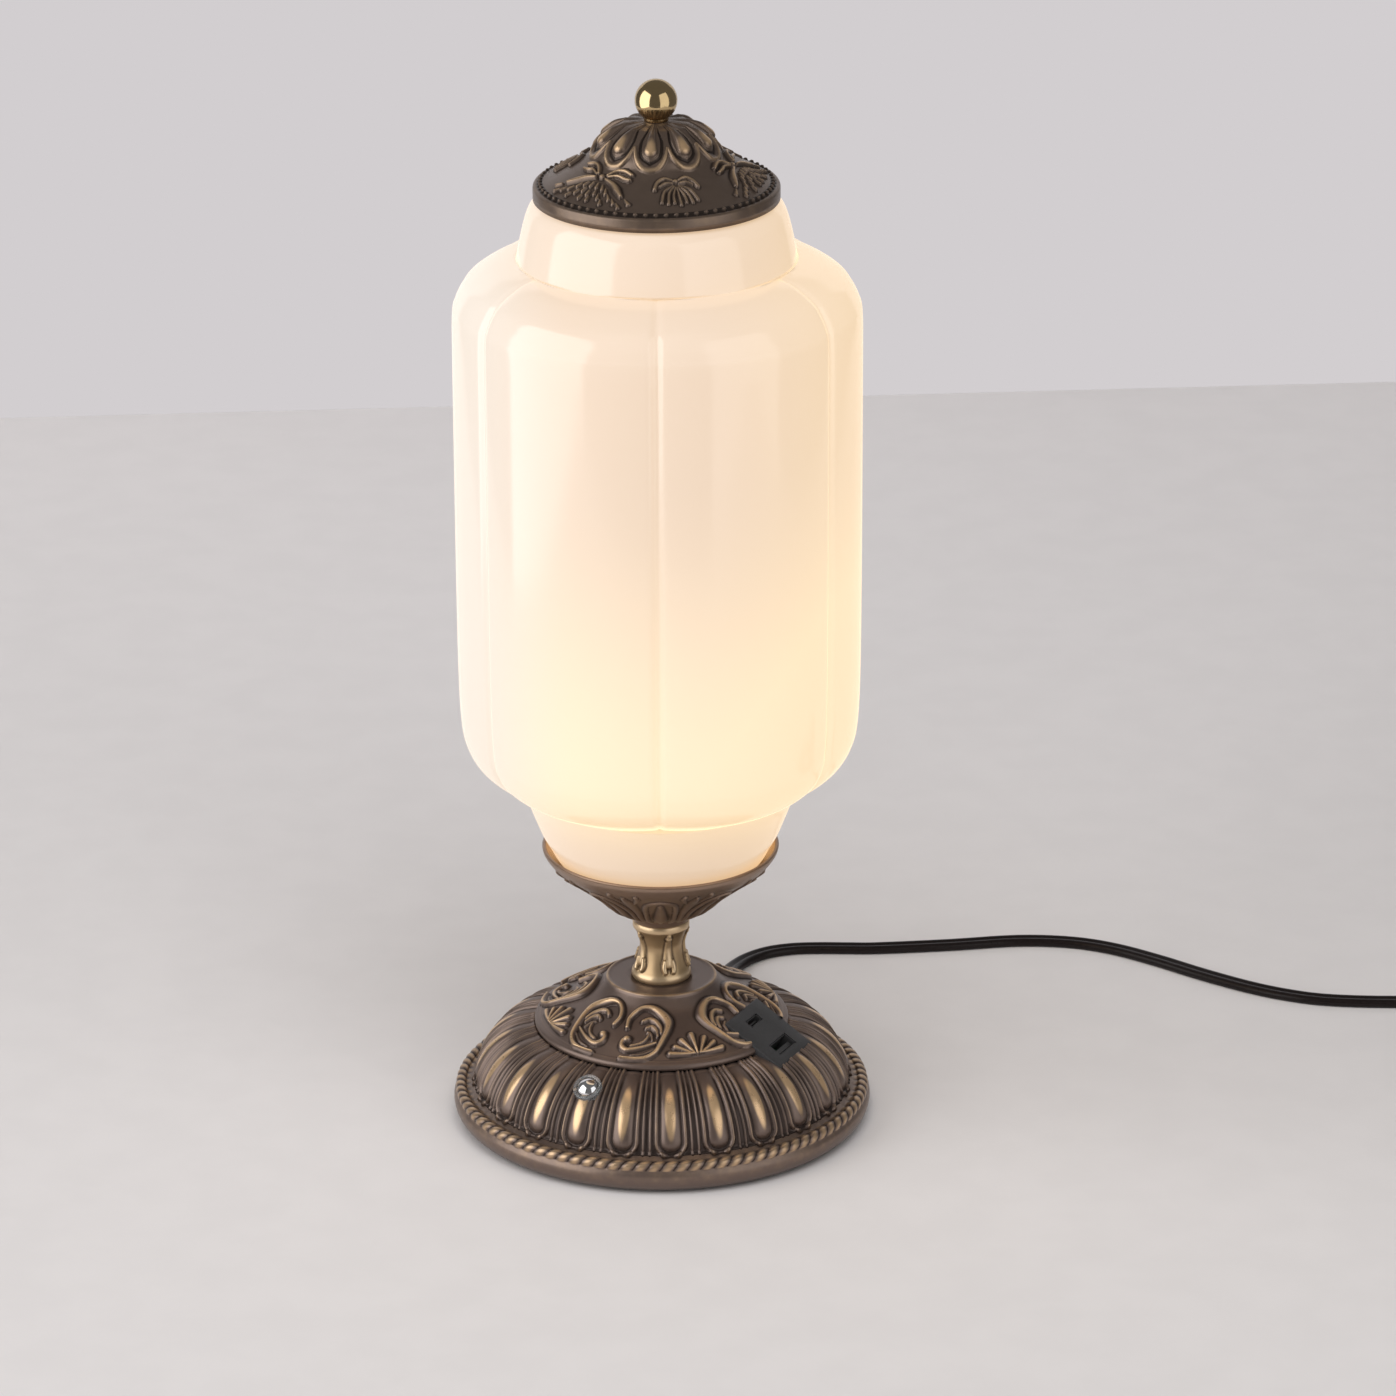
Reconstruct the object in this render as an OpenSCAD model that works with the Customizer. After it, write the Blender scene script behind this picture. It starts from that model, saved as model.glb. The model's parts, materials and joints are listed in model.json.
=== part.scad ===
// Table lamp: an opal glass shade of six lobes in a bronze cup, on a fluted cast base
// with a dome switch and a charging socket, and a flat two-core cord with a plug.
// The front faces -Y, +Z is up, and the origin is on the table under the lamp's axis.
// An azimuth is measured from the front, positive to the right seen from the front.

/* [Base] */
// Largest diameter of the cast base
base_d = 160; // [150:1:180]
// Height of the flat top of the base above the table
base_h = 56.3; // [54:0.1:62]
// Wall of the cast base
base_wall = 2.5; // [2:0.1:3]
// Diameter of the flat top that the neck stands on
plateau_d = 41.4; // [36:0.2:46]
// Diameter of the roll between the scroll band and the flutes
lip_d = 96; // [92:1:100]
// Number of tongues round the base
tongues = 24; // [12:2:30]
// How far a tongue stands out of the flute zone
tongue_rise = 1.3; // [0.8:0.1:1.8]
// Azimuth of the tongue that carries the switch
switch_azimuth = -27; // [-60:1:60]
// Thickness of the felt under the base
felt_t = 1.5; // [1:0.1:2.5]
// Thickness of the steel bottom plate
plate_t = 1.5; // [1:0.1:2]
// Height of the iron ballast
ballast_h = 8; // [5:0.5:9]

/* [Neck and cup] */
// Height of the neck between the base and the cup
neck_h = 23.7; // [20:0.1:30]
// Diameter of the neck at its foot
neck_d = 22.8; // [20:0.2:26]
// Diameter of the neck at its waist
neck_waist_d = 16.4; // [14:0.2:19]
// Height of the cup
cup_h = 31.2; // [29:0.2:36]
// Diameter of the cup at its rim
cup_d = 90; // [88:0.5:100]
// Wall of the cup
cup_wall = 1.6; // [1.2:0.1:2]
// Height of the seat for the shade above the bottom of the cup
seat_h = 23.6; // [22.5:0.1:24.5]
// Thickness of the silicone ring under the shade
gasket_t = 1.5; // [1:0.1:2]
// Outside diameter of the threaded tube through the lamp
tube_d = 9.6; // [8:0.1:10]

/* [Shade] */
// Height of the glass shade
shade_h = 262.6; // [240:0.2:290]
// Largest diameter of the shade over its lobes
shade_d = 151.8; // [146:0.2:160]
// Number of lobes
lobes = 6; // [5:1:8]
// How far the lobes' own axes lie from the lamp's axis
lobe_offset = 15; // [8:0.5:18]
// Thickness of the glass
glass_t = 3; // [2.5:0.1:3.5]
// Height of the lower collar of the shade
foot_h = 29.8; // [28:0.2:34]
// Diameter of the lower collar where it meets the lobes
foot_d = 102; // [98:0.5:106]
// Outside diameter of the lower mouth
mouth_d = 75; // [73:0.5:76]
// Height of the upper collar of the shade
collar_h = 24.7; // [22:0.1:30]
// Diameter of the upper collar where it meets the lobes
collar_d = 103.6; // [98:0.2:108]
// Outside diameter of the upper mouth
top_d = 85.6; // [84:0.2:87]

/* [Cap and finial] */
// Height of the cap above its seat on the shade
cap_h = 27.3; // [25:0.1:32]
// Diameter of the cap at its lip
cap_d = 90.8; // [90.4:0.2:96]
// Wall of the cap
cap_wall = 1.6; // [1.2:0.1:2]
// Number of drops round the top of the cap
drops = 10; // [6:1:12]
// Diameter of the ball
ball_d = 15.7; // [13:0.1:20]

/* [Lamp holder and bulb] */
// Outside diameter of the lamp holder
holder_d = 33.2; // [32:0.1:36]
// Height of the lamp holder
holder_h = 56; // [52:0.5:60]
// Diameter of the bulb's screw base
screw_d = 25.9; // [25.5:0.1:26.4]
// Diameter of the bulb
bulb_d = 60; // [45:1:62]
// Height of the bulb above the holder
bulb_h = 70.5; // [60:0.5:80]

/* [Switch and charging socket] */
// Diameter of the switch button
button_d = 7.7; // [6.5:0.1:9]
// Travel of the switch button
button_travel = 1.2; // [0.6:0.1:1.5]
// Azimuth of the charging socket
usb_azimuth = 63; // [45:1:90]
// Length of the charging socket's face down the slope
usb_l = 27.4; // [26:0.1:30]
// Width of the charging socket's face
usb_w = 26.7; // [24:0.1:28]

/* [Cord] */
// Width of the flat cord
cord_w = 6.9; // [5.5:0.1:7.2]
// Thickness of the flat cord
cord_t = 3.5; // [2.6:0.1:3.6]
// Azimuth at which the cord leaves the base
cord_azimuth = 168; // [150:1:170]
// Largest radius of the coil
coil_r = 51.5; // [50:0.5:54]
// Step of the coil's spiral from loop to loop
coil_step = 9; // [8.6:0.1:9.6]
// Step of the coil from layer to layer
coil_climb = 4.3; // [4.2:0.1:5]

/* [Hidden] */
$fn = 96;

// Clearances between pieces that move apart, between fixed pieces, and of a running fit
gap = 0.3;
fit = 0.15;
run_fit = 0.08;
eps = 0.01;

// Radii of the named diameters
base_r = base_d / 2;
plateau_r = plateau_d / 2;
lip_r = lip_d / 2;
cup_r = cup_d / 2;
shade_r = shade_d / 2;
foot_r = foot_d / 2;
mouth_r = mouth_d / 2;
collar_r = collar_d / 2;
top_r = top_d / 2;
cap_r = cap_d / 2;
tube_r = tube_d / 2;
holder_r = holder_d / 2;
screw_r = screw_d / 2;
button_r = button_d / 2;

// Heights of the stacked pieces
rim_z = 0.8;
plate_top = felt_t + plate_t;
plate_r = base_r - 8.2;
cup_z = base_h + neck_h;
cup_floor = cup_z + 4;
seat_z = cup_z + seat_h;
shade_z = seat_z + gasket_t + gap;
shade_top = shade_z + shade_h;
lobe_z = shade_z + foot_h;
lobe_top = shade_top - collar_h;
cap_z = shade_top + gap;
cap_top = cap_z + cap_h;

// The rope ring, and the arc of the flute zone in section from the rim to the roll
rope_r = 2.1;
rope_x = base_r - 2.8;
rope_z = 11.3;
flute_sweep = 72;
flute_low = [base_r - 8.75, rope_z + 3.1];
flute_span = [lip_r + 2.2, base_h - 20.1] - flute_low;
flute_r = norm(flute_span) / 2 / sin(flute_sweep / 2);
flute_start = atan2(flute_span[1], flute_span[0]) - 90 - flute_sweep / 2;
flute_x = flute_low[0] - flute_r * cos(flute_start);
flute_z = flute_low[1] - flute_r * sin(flute_start);
flute_top = flute_start + flute_sweep;
tongue_foot = flute_start + 4;

// Smooth line through hand-chosen points, n short spans between neighbours
function blend(a, b, c, d, t) =
    0.5 * (2 * b + (c - a) * t + (2 * a - 5 * b + 4 * c - d) * t * t + (3 * b - a - 3 * c + d) * t * t * t);
function smooth(p, n = 4) = [
    for (i = [0 : len(p) - 2], j = [0 : n - 1])
        blend(p[max(i - 1, 0)], p[i], p[i + 1], p[min(i + 2, len(p) - 1)], j / n),
    p[len(p) - 1]
];
function arc(x, y, r, from, to, n = 10) =
    [for (i = [0 : n]) let (a = from + (to - from) * i / n) [x + r * cos(a), y + r * sin(a)]];
function reverse(p) = [for (i = [len(p) - 1 : -1 : 0]) p[i]];

// The same line, moved to the left of its direction by w
function inset(p, w) = [
    for (i = [0 : len(p) - 1])
        let (d = p[min(i + 1, len(p) - 1)] - p[max(i - 1, 0)])
        p[i] + w * [-d[1], d[0]] / norm(d)
];

// Turns the children so that +X points outwards at an azimuth
module facing(azimuth) {
    rotate([0, 0, azimuth - 90]) children();
}

module ring(r_out, r_in, z0, z1) {
    translate([0, 0, z0])
        difference() {
            cylinder(r = r_out, h = z1 - z0);
            translate([0, 0, -eps]) cylinder(r = r_in, h = z1 - z0 + 2 * eps);
        }
}

module hex_nut(across, r_in, z0, z1) {
    translate([0, 0, z0])
        difference() {
            cylinder(d = across / cos(30), h = z1 - z0, $fn = 6);
            translate([0, 0, -eps]) cylinder(r = r_in, h = z1 - z0 + 2 * eps);
        }
}

// Slot with round ends, long in Y
module stadium(l, w, h) {
    cube([w, l - w, h], center = true);
    for (s = [-1, 1]) translate([0, s * (l - w) / 2, 0]) cylinder(d = w, h = h, center = true);
}

// Tube of the given section along a route, with square ends and no twist
function unit(v) = v / norm(v);
function heading(p, i) = unit(p[min(i + 1, len(p) - 1)] - p[max(i - 1, 0)]);
function side(d) = abs(d[2]) > 0.9 ? [1, 0, 0] : unit(cross(d, [0, 0, 1]));
function oval(w, t, sides) =
    [for (k = [0 : sides - 1]) let (a = 360 * (k + 0.5) / sides) [w / 2 * cos(a), t / 2 * sin(a)]];
function skin(route, section) = [
    for (i = [0 : len(route) - 1])
        let (d = heading(route, i), s = side(d), u = cross(s, d))
        for (q = section) route[i] + q[0] * s + q[1] * u
];
function band(i, m) = [
    for (k = [0 : m - 1])
        let (a = i * m + k, b = i * m + (k + 1) % m)
        each [[a, a + m, b], [b, a + m, b + m]]
];
function lid(first, m, flip) =
    [for (k = [1 : m - 2]) flip ? [first, first + k + 1, first + k] : [first, first + k, first + k + 1]];
module sweep(route, section) {
    m = len(section);
    n = len(route);
    polyhedron(
        skin(route, section),
        concat([for (i = [0 : n - 2]) each band(i, m)], lid(0, m, false), lid((n - 1) * m, m, true)),
        convexity = 8
    );
}

// Outline of the base in section, from the rim up to the flat top
base_band = smooth([
    [lip_r - 1.4, base_h - 16], [lip_r - 8, base_h - 12.1], [lip_r - 16, base_h - 8.3],
    [plateau_r + 5.3, base_h - 5.1], [plateau_r + 1.9, base_h - 2.1], [plateau_r, base_h]
]);
base_rim = smooth([
    [base_r - 6.6, rim_z], [base_r - 3.4, 1.5], [base_r - 1.1, 3.6],
    [base_r - 0.1, 6], [base_r - 0.1, 8.2], [base_r - 1, 10]
]);

module base_outline() {
    polygon(concat(
        [[0, rim_z]], base_rim,
        [[rope_x, rope_z], [base_r - 4.8, 12.8], [base_r - 6.4, 12.4], [base_r - 7.6, 13.4]],
        arc(flute_x, flute_z, flute_r, flute_start, flute_top),
        [[lip_r + 0.6, base_h - 19.4]],
        arc(lip_r - 0.9, base_h - 17.8, 1.7, -40, 75, 6),
        base_band, [[0, base_h]]
    ));
    translate([rope_x, rope_z]) circle(r = rope_r);
}

// The hollow under the base, a wall's thickness inside the outline
module base_hollow() {
    inner_band = reverse(inset(reverse(base_band), -base_wall));
    polygon(concat(
        [[0, -1], [plate_r + fit, -1], [plate_r + fit, plate_top], [plate_r - 1.1, plate_top]],
        [[plate_r - 1.1, rope_z - 4]],
        arc(flute_x, flute_z, flute_r - base_wall, flute_start - 8, flute_top - 4),
        [for (p = inner_band) if (p[1] < base_h - base_wall - 0.5) p],
        [[plateau_r - 1.5, base_h - base_wall], [0, base_h - base_wall]]
    ));
}

// A ridge along the flute zone in the plane of its azimuth
module rail(azimuth, r, from, to) {
    facing(azimuth)
        translate([flute_x, 0, flute_z])
            rotate([90, 0, 0])
                rotate([0, 0, from])
                    rotate_extrude(angle = to - from)
                        translate([flute_r, 0]) circle(r = r, $fn = 24);
}

// A spindle lying along the flute zone, pointed at both ends
spindle_l = 23;
spindle_lean = flute_start + 38;
spindle_sink = spindle_l * spindle_l / 8 / flute_r;
module spindle(azimuth) {
    thick = spindle_sink + tongue_rise;
    depth = flute_r - spindle_sink;
    facing(azimuth)
        translate([flute_x + depth * cos(spindle_lean), 0, flute_z + depth * sin(spindle_lean)])
            rotate([0, 180 - spindle_lean, 0])
                rotate_extrude()
                    polygon(concat(
                        [[0, -spindle_l / 2]],
                        smooth([
                            [0.5, -spindle_l / 2], [2.3, -spindle_l / 4], [thick, 1], [2.2, spindle_l / 4],
                            [0.5, spindle_l / 2]
                        ], 3),
                        [[0, spindle_l / 2]]
                    ));
}

// One tongue: a spindle in a U-shaped frame
tongue_half = 4.6;
rail_r = 0.8;
module tongue(azimuth) {
    spindle(azimuth);
    for (s = [-1, 1]) rail(azimuth + s * tongue_half, rail_r, tongue_foot, flute_top - 5);
    facing(azimuth)
        translate([flute_x, 0, flute_z])
            rotate([0, 90 - tongue_foot, 0])
                translate([0, 0, flute_r])
                    rotate([0, 0, -90])
                        rotate_extrude(angle = 180)
                            translate([tongue_half * base_r * PI / 180 * 0.9, 0])
                                circle(r = rail_r, $fn = 24);
}

// Bosses that the bottom plate is screwed to
screw_at = base_r - 14;
screw_azimuths = [30, 150, 270];
boss_r = 4;
screw_thread_r = 1.3;
screw_head_r = 2.7;
screw_head_t = 0.9;
screw_l = 8;

// Place and lean of the switch and of the charging socket on the base
switch_lean = 42 - flute_start;
switch_x = flute_x + (flute_r + tongue_rise) * cos(90 - switch_lean);
switch_z = flute_z + (flute_r + tongue_rise) * sin(90 - switch_lean);
collar_wide = button_r + 1.75;
barrel_r = button_r + 1.25;
usb_lean = 31;
usb_x = lip_r - 2;
usb_z = base_h - 15.3;
usb_deep = 11;
gland_z = 8.5;
gland_r = 4.6;
gland_face = base_r + 2;
gland_back = base_r - 12.4;
boot_l = 20;
boot_end = gland_face + boot_l;

module at_switch() {
    facing(switch_azimuth) translate([switch_x, 0, switch_z]) rotate([0, switch_lean, 0]) children();
}

module at_usb() {
    facing(usb_azimuth) translate([usb_x, 0, usb_z]) rotate([0, usb_lean, 0]) children();
}

// Puts +Z along the cord's way out of the base
module at_gland(r) {
    facing(cord_azimuth) translate([r, 0, gland_z]) rotate([0, 90, 0]) children();
}

module base_shell() {
    color("#4a3f38")
        difference() {
            union() {
                rotate_extrude() base_outline();
                for (i = [0 : tongues - 1]) tongue(switch_azimuth + i * 360 / tongues);
            }
            difference() {
                rotate_extrude() base_hollow();
                for (a = screw_azimuths)
                    facing(a) translate([screw_at, 0, plate_top]) cylinder(r = boss_r, h = base_h);
            }
            for (a = screw_azimuths)
                facing(a)
                    translate([screw_at, 0, -1]) cylinder(r = screw_thread_r + 0.1, h = plate_top + screw_l);
            translate([0, 0, base_h - 10]) cylinder(r = tube_r + fit, h = 20);
            at_switch() {
                cylinder(r = collar_wide + fit, h = 10);
                translate([0, 0, -8]) cylinder(r = barrel_r + fit, h = 10);
            }
            at_usb() cube([usb_l + 2 * fit, usb_w + 2 * fit, 2 * usb_deep], center = true);
            at_gland(gland_back - 1) cylinder(r = gland_r + fit, h = 20);
        }
}

module felt_pad() {
    color("#2b2b2b") cylinder(r = plate_r, h = felt_t);
}

module bottom_plate() {
    color("#9a9a98")
        difference() {
            translate([0, 0, felt_t]) cylinder(r = plate_r, h = plate_t);
            for (a = screw_azimuths)
                facing(a)
                    translate([screw_at, 0, 0]) {
                        cylinder(r = screw_thread_r + gap, h = plate_top + 1);
                        cylinder(r = screw_head_r + fit, h = felt_t + screw_head_t);
                    }
        }
}

module bottom_screws() {
    color("#b5b5b5")
        for (a = screw_azimuths)
            facing(a)
                translate([screw_at, 0, felt_t]) {
                    cylinder(r = screw_head_r, h = screw_head_t);
                    cylinder(r = screw_thread_r, h = plate_t + screw_l - 2);
                }
}

ballast_top = plate_top + ballast_h;
module ballast() {
    color("#3a3a3c") ring(base_r - 22, 22, plate_top, ballast_top);
}

// The circuit board stands on four posts behind the tube, left of the cord
board_x = -0.275 * base_r;
board_y = 0.425 * base_r;
board_l = 44;
board_w = 28;
board_t = 1.6;
post_h = 4;
board_z = ballast_top + post_h;
module board_posts() {
    color("#d8d4c8")
        for (x = [-1, 1], y = [-1, 1])
            translate([board_x + x * (board_l / 2 - 4), board_y + y * (board_w / 2 - 4), ballast_top])
                cylinder(r = 2, h = post_h);
}

module power_board() {
    color("#2f5d3a")
        translate([board_x - board_l / 2, board_y - board_w / 2, board_z])
            cube([board_l, board_w, board_t]);
}

module transformer() {
    color("#d9b13b")
        translate([board_x - 12, board_y, board_z + board_t + 6.5]) {
            cube([15, 17, 9], center = true);
            cube([18, 9, 13], center = true);
        }
}

module capacitor() {
    color("#27303f") translate([board_x + 10, board_y + 5, board_z + board_t]) cylinder(r = 5, h = 15);
}

// Leads inside the base: mains to the board, board to the tube, to the charging socket and to the switch
wire_d = 2.6;
lead_gap = 0.5;
wire_z = board_z + board_t + wire_d / 2 + fit;
board_front = board_y - board_w / 2 + 3;
board_right = board_x + board_l / 2;
function polar(azimuth, r, z) = [r * sin(azimuth), -r * cos(azimuth), z];
function under_usb(depth) =
    polar(usb_azimuth, usb_x - depth * sin(usb_lean), usb_z - depth * cos(usb_lean));
function under_switch(depth) =
    polar(switch_azimuth, switch_x - depth * sin(switch_lean), switch_z - depth * cos(switch_lean));
module inner_wires() {
    section = oval(wire_d, wire_d, 8);
    usb_foot = usb_board_t - usb_floor + lead_gap;
    switch_foot = barrel_l + switch_h + lead_gap;
    color("#1c1c1c") {
        sweep(smooth([
            polar(cord_azimuth, gland_back - lead_gap, gland_z), polar(cord_azimuth, gland_back - 4, gland_z + 1),
            [14, 56, 15], [board_right + 6, board_y + 12, wire_z + 2], [board_right - 3, board_y + 6, wire_z]
        ]), section);
        sweep(smooth([
            [board_right - 6, board_front, wire_z], [-2, 12, wire_z + 2], [0, 4, 24], [0, 0, 34],
            [0, 0, base_h], [0, 0, body_z - fit]
        ]), section);
        sweep(smooth([
            [board_right - 4, board_front + 6, wire_z], [6, 16, wire_z + 2], [18, 2, 22],
            under_usb(usb_foot + 6), under_usb(usb_foot)
        ]), section);
        sweep(smooth([
            [board_x - 10, board_front, wire_z], [-34, 6, wire_z + 1], [-30, -20, 18],
            under_switch(switch_foot + 6), under_switch(switch_foot)
        ]), section);
    }
}

// Charging socket: a block flush in the slope, with a small upper and a larger lower port
usb_wall = 1.6;
port_c_x = -7.3;
port_a_x = 6.9;
port_c = [8.9, 3.2];
port_a = [13, 5.6];
port_t = 0.35;
usb_floor = -8;
usb_board_t = 1.6;
module usb_housing() {
    color("#3b3b3d")
        at_usb()
            difference() {
                translate([0, 0, -usb_deep / 2]) cube([usb_l, usb_w, usb_deep], center = true);
                translate([0, 0, -usb_deep / 2 - 2])
                    cube([usb_l - 2 * usb_wall, usb_w - 2 * usb_wall, usb_deep], center = true);
                translate([port_c_x, 0, 0]) stadium(port_c[0] + 2 * fit, port_c[1] + 2 * fit, 10);
                translate([port_a_x, 0, 0])
                    cube([port_a[1] + 2 * fit, port_a[0] + 2 * fit, 10], center = true);
            }
}

module usb_board() {
    color("#2f5d3a")
        at_usb()
            translate([0, 0, usb_floor - usb_board_t / 2])
                cube([usb_l - 2 * usb_wall - 2 * fit, usb_w - 2 * usb_wall - 2 * fit, usb_board_t],
                    center = true);
}

port_h = -usb_floor - 0.4;
module usb_c_shell() {
    color("#c2c4c6")
        at_usb()
            translate([port_c_x, 0, usb_floor + port_h / 2])
                difference() {
                    stadium(port_c[0], port_c[1], port_h);
                    stadium(port_c[0] - 2 * port_t, port_c[1] - 2 * port_t, port_h + 1);
                }
}

module usb_c_tongue() {
    color("#1f1f20")
        at_usb()
            translate([port_c_x, 0, usb_floor + 3])
                cube([0.7, port_c[0] - 2.2, 6], center = true);
}

module usb_a_shell() {
    color("#c2c4c6")
        at_usb()
            translate([port_a_x, 0, usb_floor + port_h / 2])
                difference() {
                    cube([port_a[1], port_a[0], port_h], center = true);
                    cube([port_a[1] - 2 * port_t, port_a[0] - 2 * port_t, port_h + 1], center = true);
                }
}

module usb_a_tongue() {
    color("#e6e6e2")
        at_usb()
            translate([port_a_x + 1, 0, usb_floor + 3.2])
                cube([1.8, port_a[0] - 1.8, 6.4], center = true);
}

// Switch: a chrome dome in a clear ring, kept in by a flange, over a push switch on the ring's barrel
barrel_l = 7.8;
switch_h = 6;
flange_r = button_r + 0.5;
flange_t = 0.8;
flange_top = -2.4;
module button_collar() {
    color("#dfe3e6")
        at_switch()
            rotate_extrude()
                polygon(concat(
                    [[flange_r + gap, -barrel_l], [barrel_r, -barrel_l], [barrel_r, 0], [collar_wide, 0]],
                    arc(collar_wide - 0.7, 0.7, 0.7, 0, 90, 4),
                    [[button_r + gap, 1.4], [button_r + gap, flange_top + gap]],
                    [[flange_r + gap, flange_top + gap]]
                ));
}

module switch_body() {
    pin_l = 3;
    color("#222224")
        at_switch() {
            translate([0, 0, -barrel_l - switch_h / 2]) cube([9.2, 9.2, switch_h], center = true);
            for (s = [-1, 1])
                translate([0, s * 2.5, -barrel_l - switch_h - pin_l / 2])
                    cube([0.5, 1.2, pin_l], center = true);
        }
}

module button() {
    dome = 1.9;
    dome_z = 1.2;
    dome_r = (button_r * button_r + dome * dome) / 2 / dome;
    flange_z = flange_top - flange_t;
    stem_l = barrel_l + flange_z - button_travel - gap;
    color("#eceef0")
        at_switch()
            rotate_extrude()
                polygon(concat(
                    [[0, flange_z - stem_l], [1.5, flange_z - stem_l], [1.5, flange_z], [flange_r, flange_z]],
                    [[flange_r, flange_top], [button_r, flange_top]],
                    arc(0, dome_z + dome - dome_r, dome_r, acos(button_r / dome_r), 90, 8)
                ));
}

module base_washer() {
    color("#b9b6ae") ring(11, tube_r + fit, base_h - base_wall - 1.5, base_h - base_wall);
}

module base_nut() {
    color("#b59a55") hex_nut(14, tube_r + fit, base_h - base_wall - 6, base_h - base_wall - 1.5);
}

tube_top = cup_floor + 8;
module threaded_tube() {
    color("#a8a49a") ring(tube_r, tube_r - 1.3, base_h - base_wall - 9, tube_top);
}

module neck() {
    foot = neck_d / 2;
    waist = neck_waist_d / 2;
    color("#9c8350")
        rotate_extrude()
            polygon(concat(
                [[tube_r + fit, base_h], [foot - 0.4, base_h]],
                smooth([
                    [foot, base_h + 1], [foot - 0.2, base_h + 2.6], [foot - 1.5, base_h + 5],
                    [waist + 0.5, base_h + 9.6], [waist, base_h + 13.6], [waist + 0.9, cup_z - 6.2],
                    [foot - 1.2, cup_z - 3.6]
                ]),
                [[foot - 0.7, cup_z - 3], [foot - 0.7, cup_z - 0.4], [foot - 1, cup_z], [tube_r + fit, cup_z]]
            ));
}

// Outline of the cup in section, from its foot out to the rim
cup_foot = 10.8;
cup_side = smooth([
    [cup_foot, cup_z], [cup_foot + 2, cup_z + 3.2], [cup_foot + 9, cup_z + 7.2],
    [cup_r - 19.6, cup_z + cup_h - 18.7], [cup_r - 10.1, cup_z + cup_h - 11.2],
    [cup_r - 3.6, cup_z + cup_h - 6.4], [cup_r - 0.6, cup_z + cup_h - 2.6], [cup_r, cup_z + cup_h]
]);
washer_r = tube_r + 4.2;
washer_t = 1.2;
seat_in = mouth_r - glass_t - 1;
seat_out = mouth_r + 1.2;
module cup() {
    inner = inset(cup_side, cup_wall);
    color("#5a4a3c")
        rotate_extrude()
            polygon(concat(
                [[tube_r + fit, cup_z]], cup_side, [[cup_r - cup_wall, cup_z + cup_h]],
                reverse([for (p = inner) if (p[1] > seat_z + 1 && p[1] < cup_z + cup_h - 0.5) p]),
                [[seat_out, seat_z + 0.6], [seat_out - 0.3, seat_z], [seat_in, seat_z]],
                reverse([for (p = inner) if (p[1] > cup_floor && p[0] < seat_in) p]),
                [[washer_r + fit, cup_floor], [tube_r + fit, cup_floor]]
            ));
}

module cup_washer() {
    color("#b9b6ae") ring(washer_r, tube_r + fit, cup_floor, cup_floor + washer_t);
}

module cup_gasket() {
    color("#e8e6e0") ring(seat_out - 0.6, seat_in + 0.5, seat_z, seat_z + gasket_t);
}

// Lamp holder: a stamped cap, a shell, an insulating liner and a moulded body with a screw shell
holder_z = cup_floor + washer_t;
holder_top = holder_z + holder_h;
body_z = holder_z + 13;
body_top = body_z + 13;
module holder_cap() {
    color("#a98a4a")
        rotate_extrude()
            polygon([
                [tube_r + fit, holder_z], [8, holder_z], [9.2, holder_z + 5],
                [holder_r - 0.6, holder_z + 11.5], [holder_r + 0.8, holder_z + 14],
                [holder_r + 0.8, holder_z + 17.5], [holder_r + fit, holder_z + 17.5],
                [holder_r + fit, holder_z + 14.2], [holder_r - 1.4, holder_z + 12.6],
                [8, holder_z + 7], [tube_r + fit, holder_z + 7]
            ]);
}

module holder_shell() {
    color("#a98a4a")
        rotate_extrude()
            polygon(concat(
                [[holder_r - 0.5, holder_z + 14.4], [holder_r, holder_z + 14.4], [holder_r, holder_top - 2]],
                arc(holder_r - 0.5, holder_top - 1.2, 1, -50, 100, 6),
                [[holder_r - 0.5, holder_top - 2]]
            ));
}

module holder_liner() {
    color("#d8c8a0") ring(holder_r - 0.5 - fit, holder_r - 1.1, holder_z + 14.6, holder_top - 2.4);
}

module holder_body() {
    color("#1e1c1a")
        rotate_extrude()
            polygon([
                [0, body_z], [holder_r - 2.4, body_z], [holder_r - 1.1 - fit, body_z + 1.4],
                [holder_r - 1.1 - fit, body_top], [0, body_top]
            ]);
}

shell_in = screw_r + gap;
module screw_shell() {
    color("#c9b46a")
        rotate_extrude()
            polygon([
                [6, body_top], [shell_in + 0.45, body_top], [shell_in + 0.45, holder_top - 4],
                [shell_in, holder_top - 4], [shell_in, body_top + 0.5], [6, body_top + 0.5]
            ]);
}

module contact_tab() {
    color("#c9b46a") translate([0, 0, body_top]) cylinder(r = 2.6, h = 1.4);
}

// Bulb: a screw base, a frosted globe and a stem with four filaments
contact_z = body_top + 1.4 + gap;
bulb_z = holder_top - 2.8;
module bulb_base() {
    color("#c4c4c0")
        rotate_extrude()
            polygon([
                [0, contact_z], [4, contact_z], [5, contact_z + 1], [screw_r - 2, contact_z + 2.4],
                [screw_r, contact_z + 4], [screw_r, bulb_z - 1], [screw_r - 0.4, bulb_z], [0, bulb_z]
            ]);
}

globe_r = bulb_d / 2;
globe_z = bulb_z + bulb_h - globe_r;
module bulb_globe() {
    skin_t = 0.8;
    side_line = concat(
        smooth([
            [screw_r - 0.6, bulb_z], [screw_r + 0.6, bulb_z + 4], [globe_r - 13, globe_z - 28],
            [globe_r - 5.8, globe_z - 17.5], [globe_r * cos(20), globe_z - globe_r * sin(20)]
        ]),
        arc(0, globe_z, globe_r, -10, 85, 10)
    );
    color("#fbf6ea")
        rotate_extrude()
            polygon(concat(
                side_line, [[0, globe_z + globe_r], [0, globe_z + globe_r - skin_t]],
                reverse(inset(side_line, skin_t))
            ));
}

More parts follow.
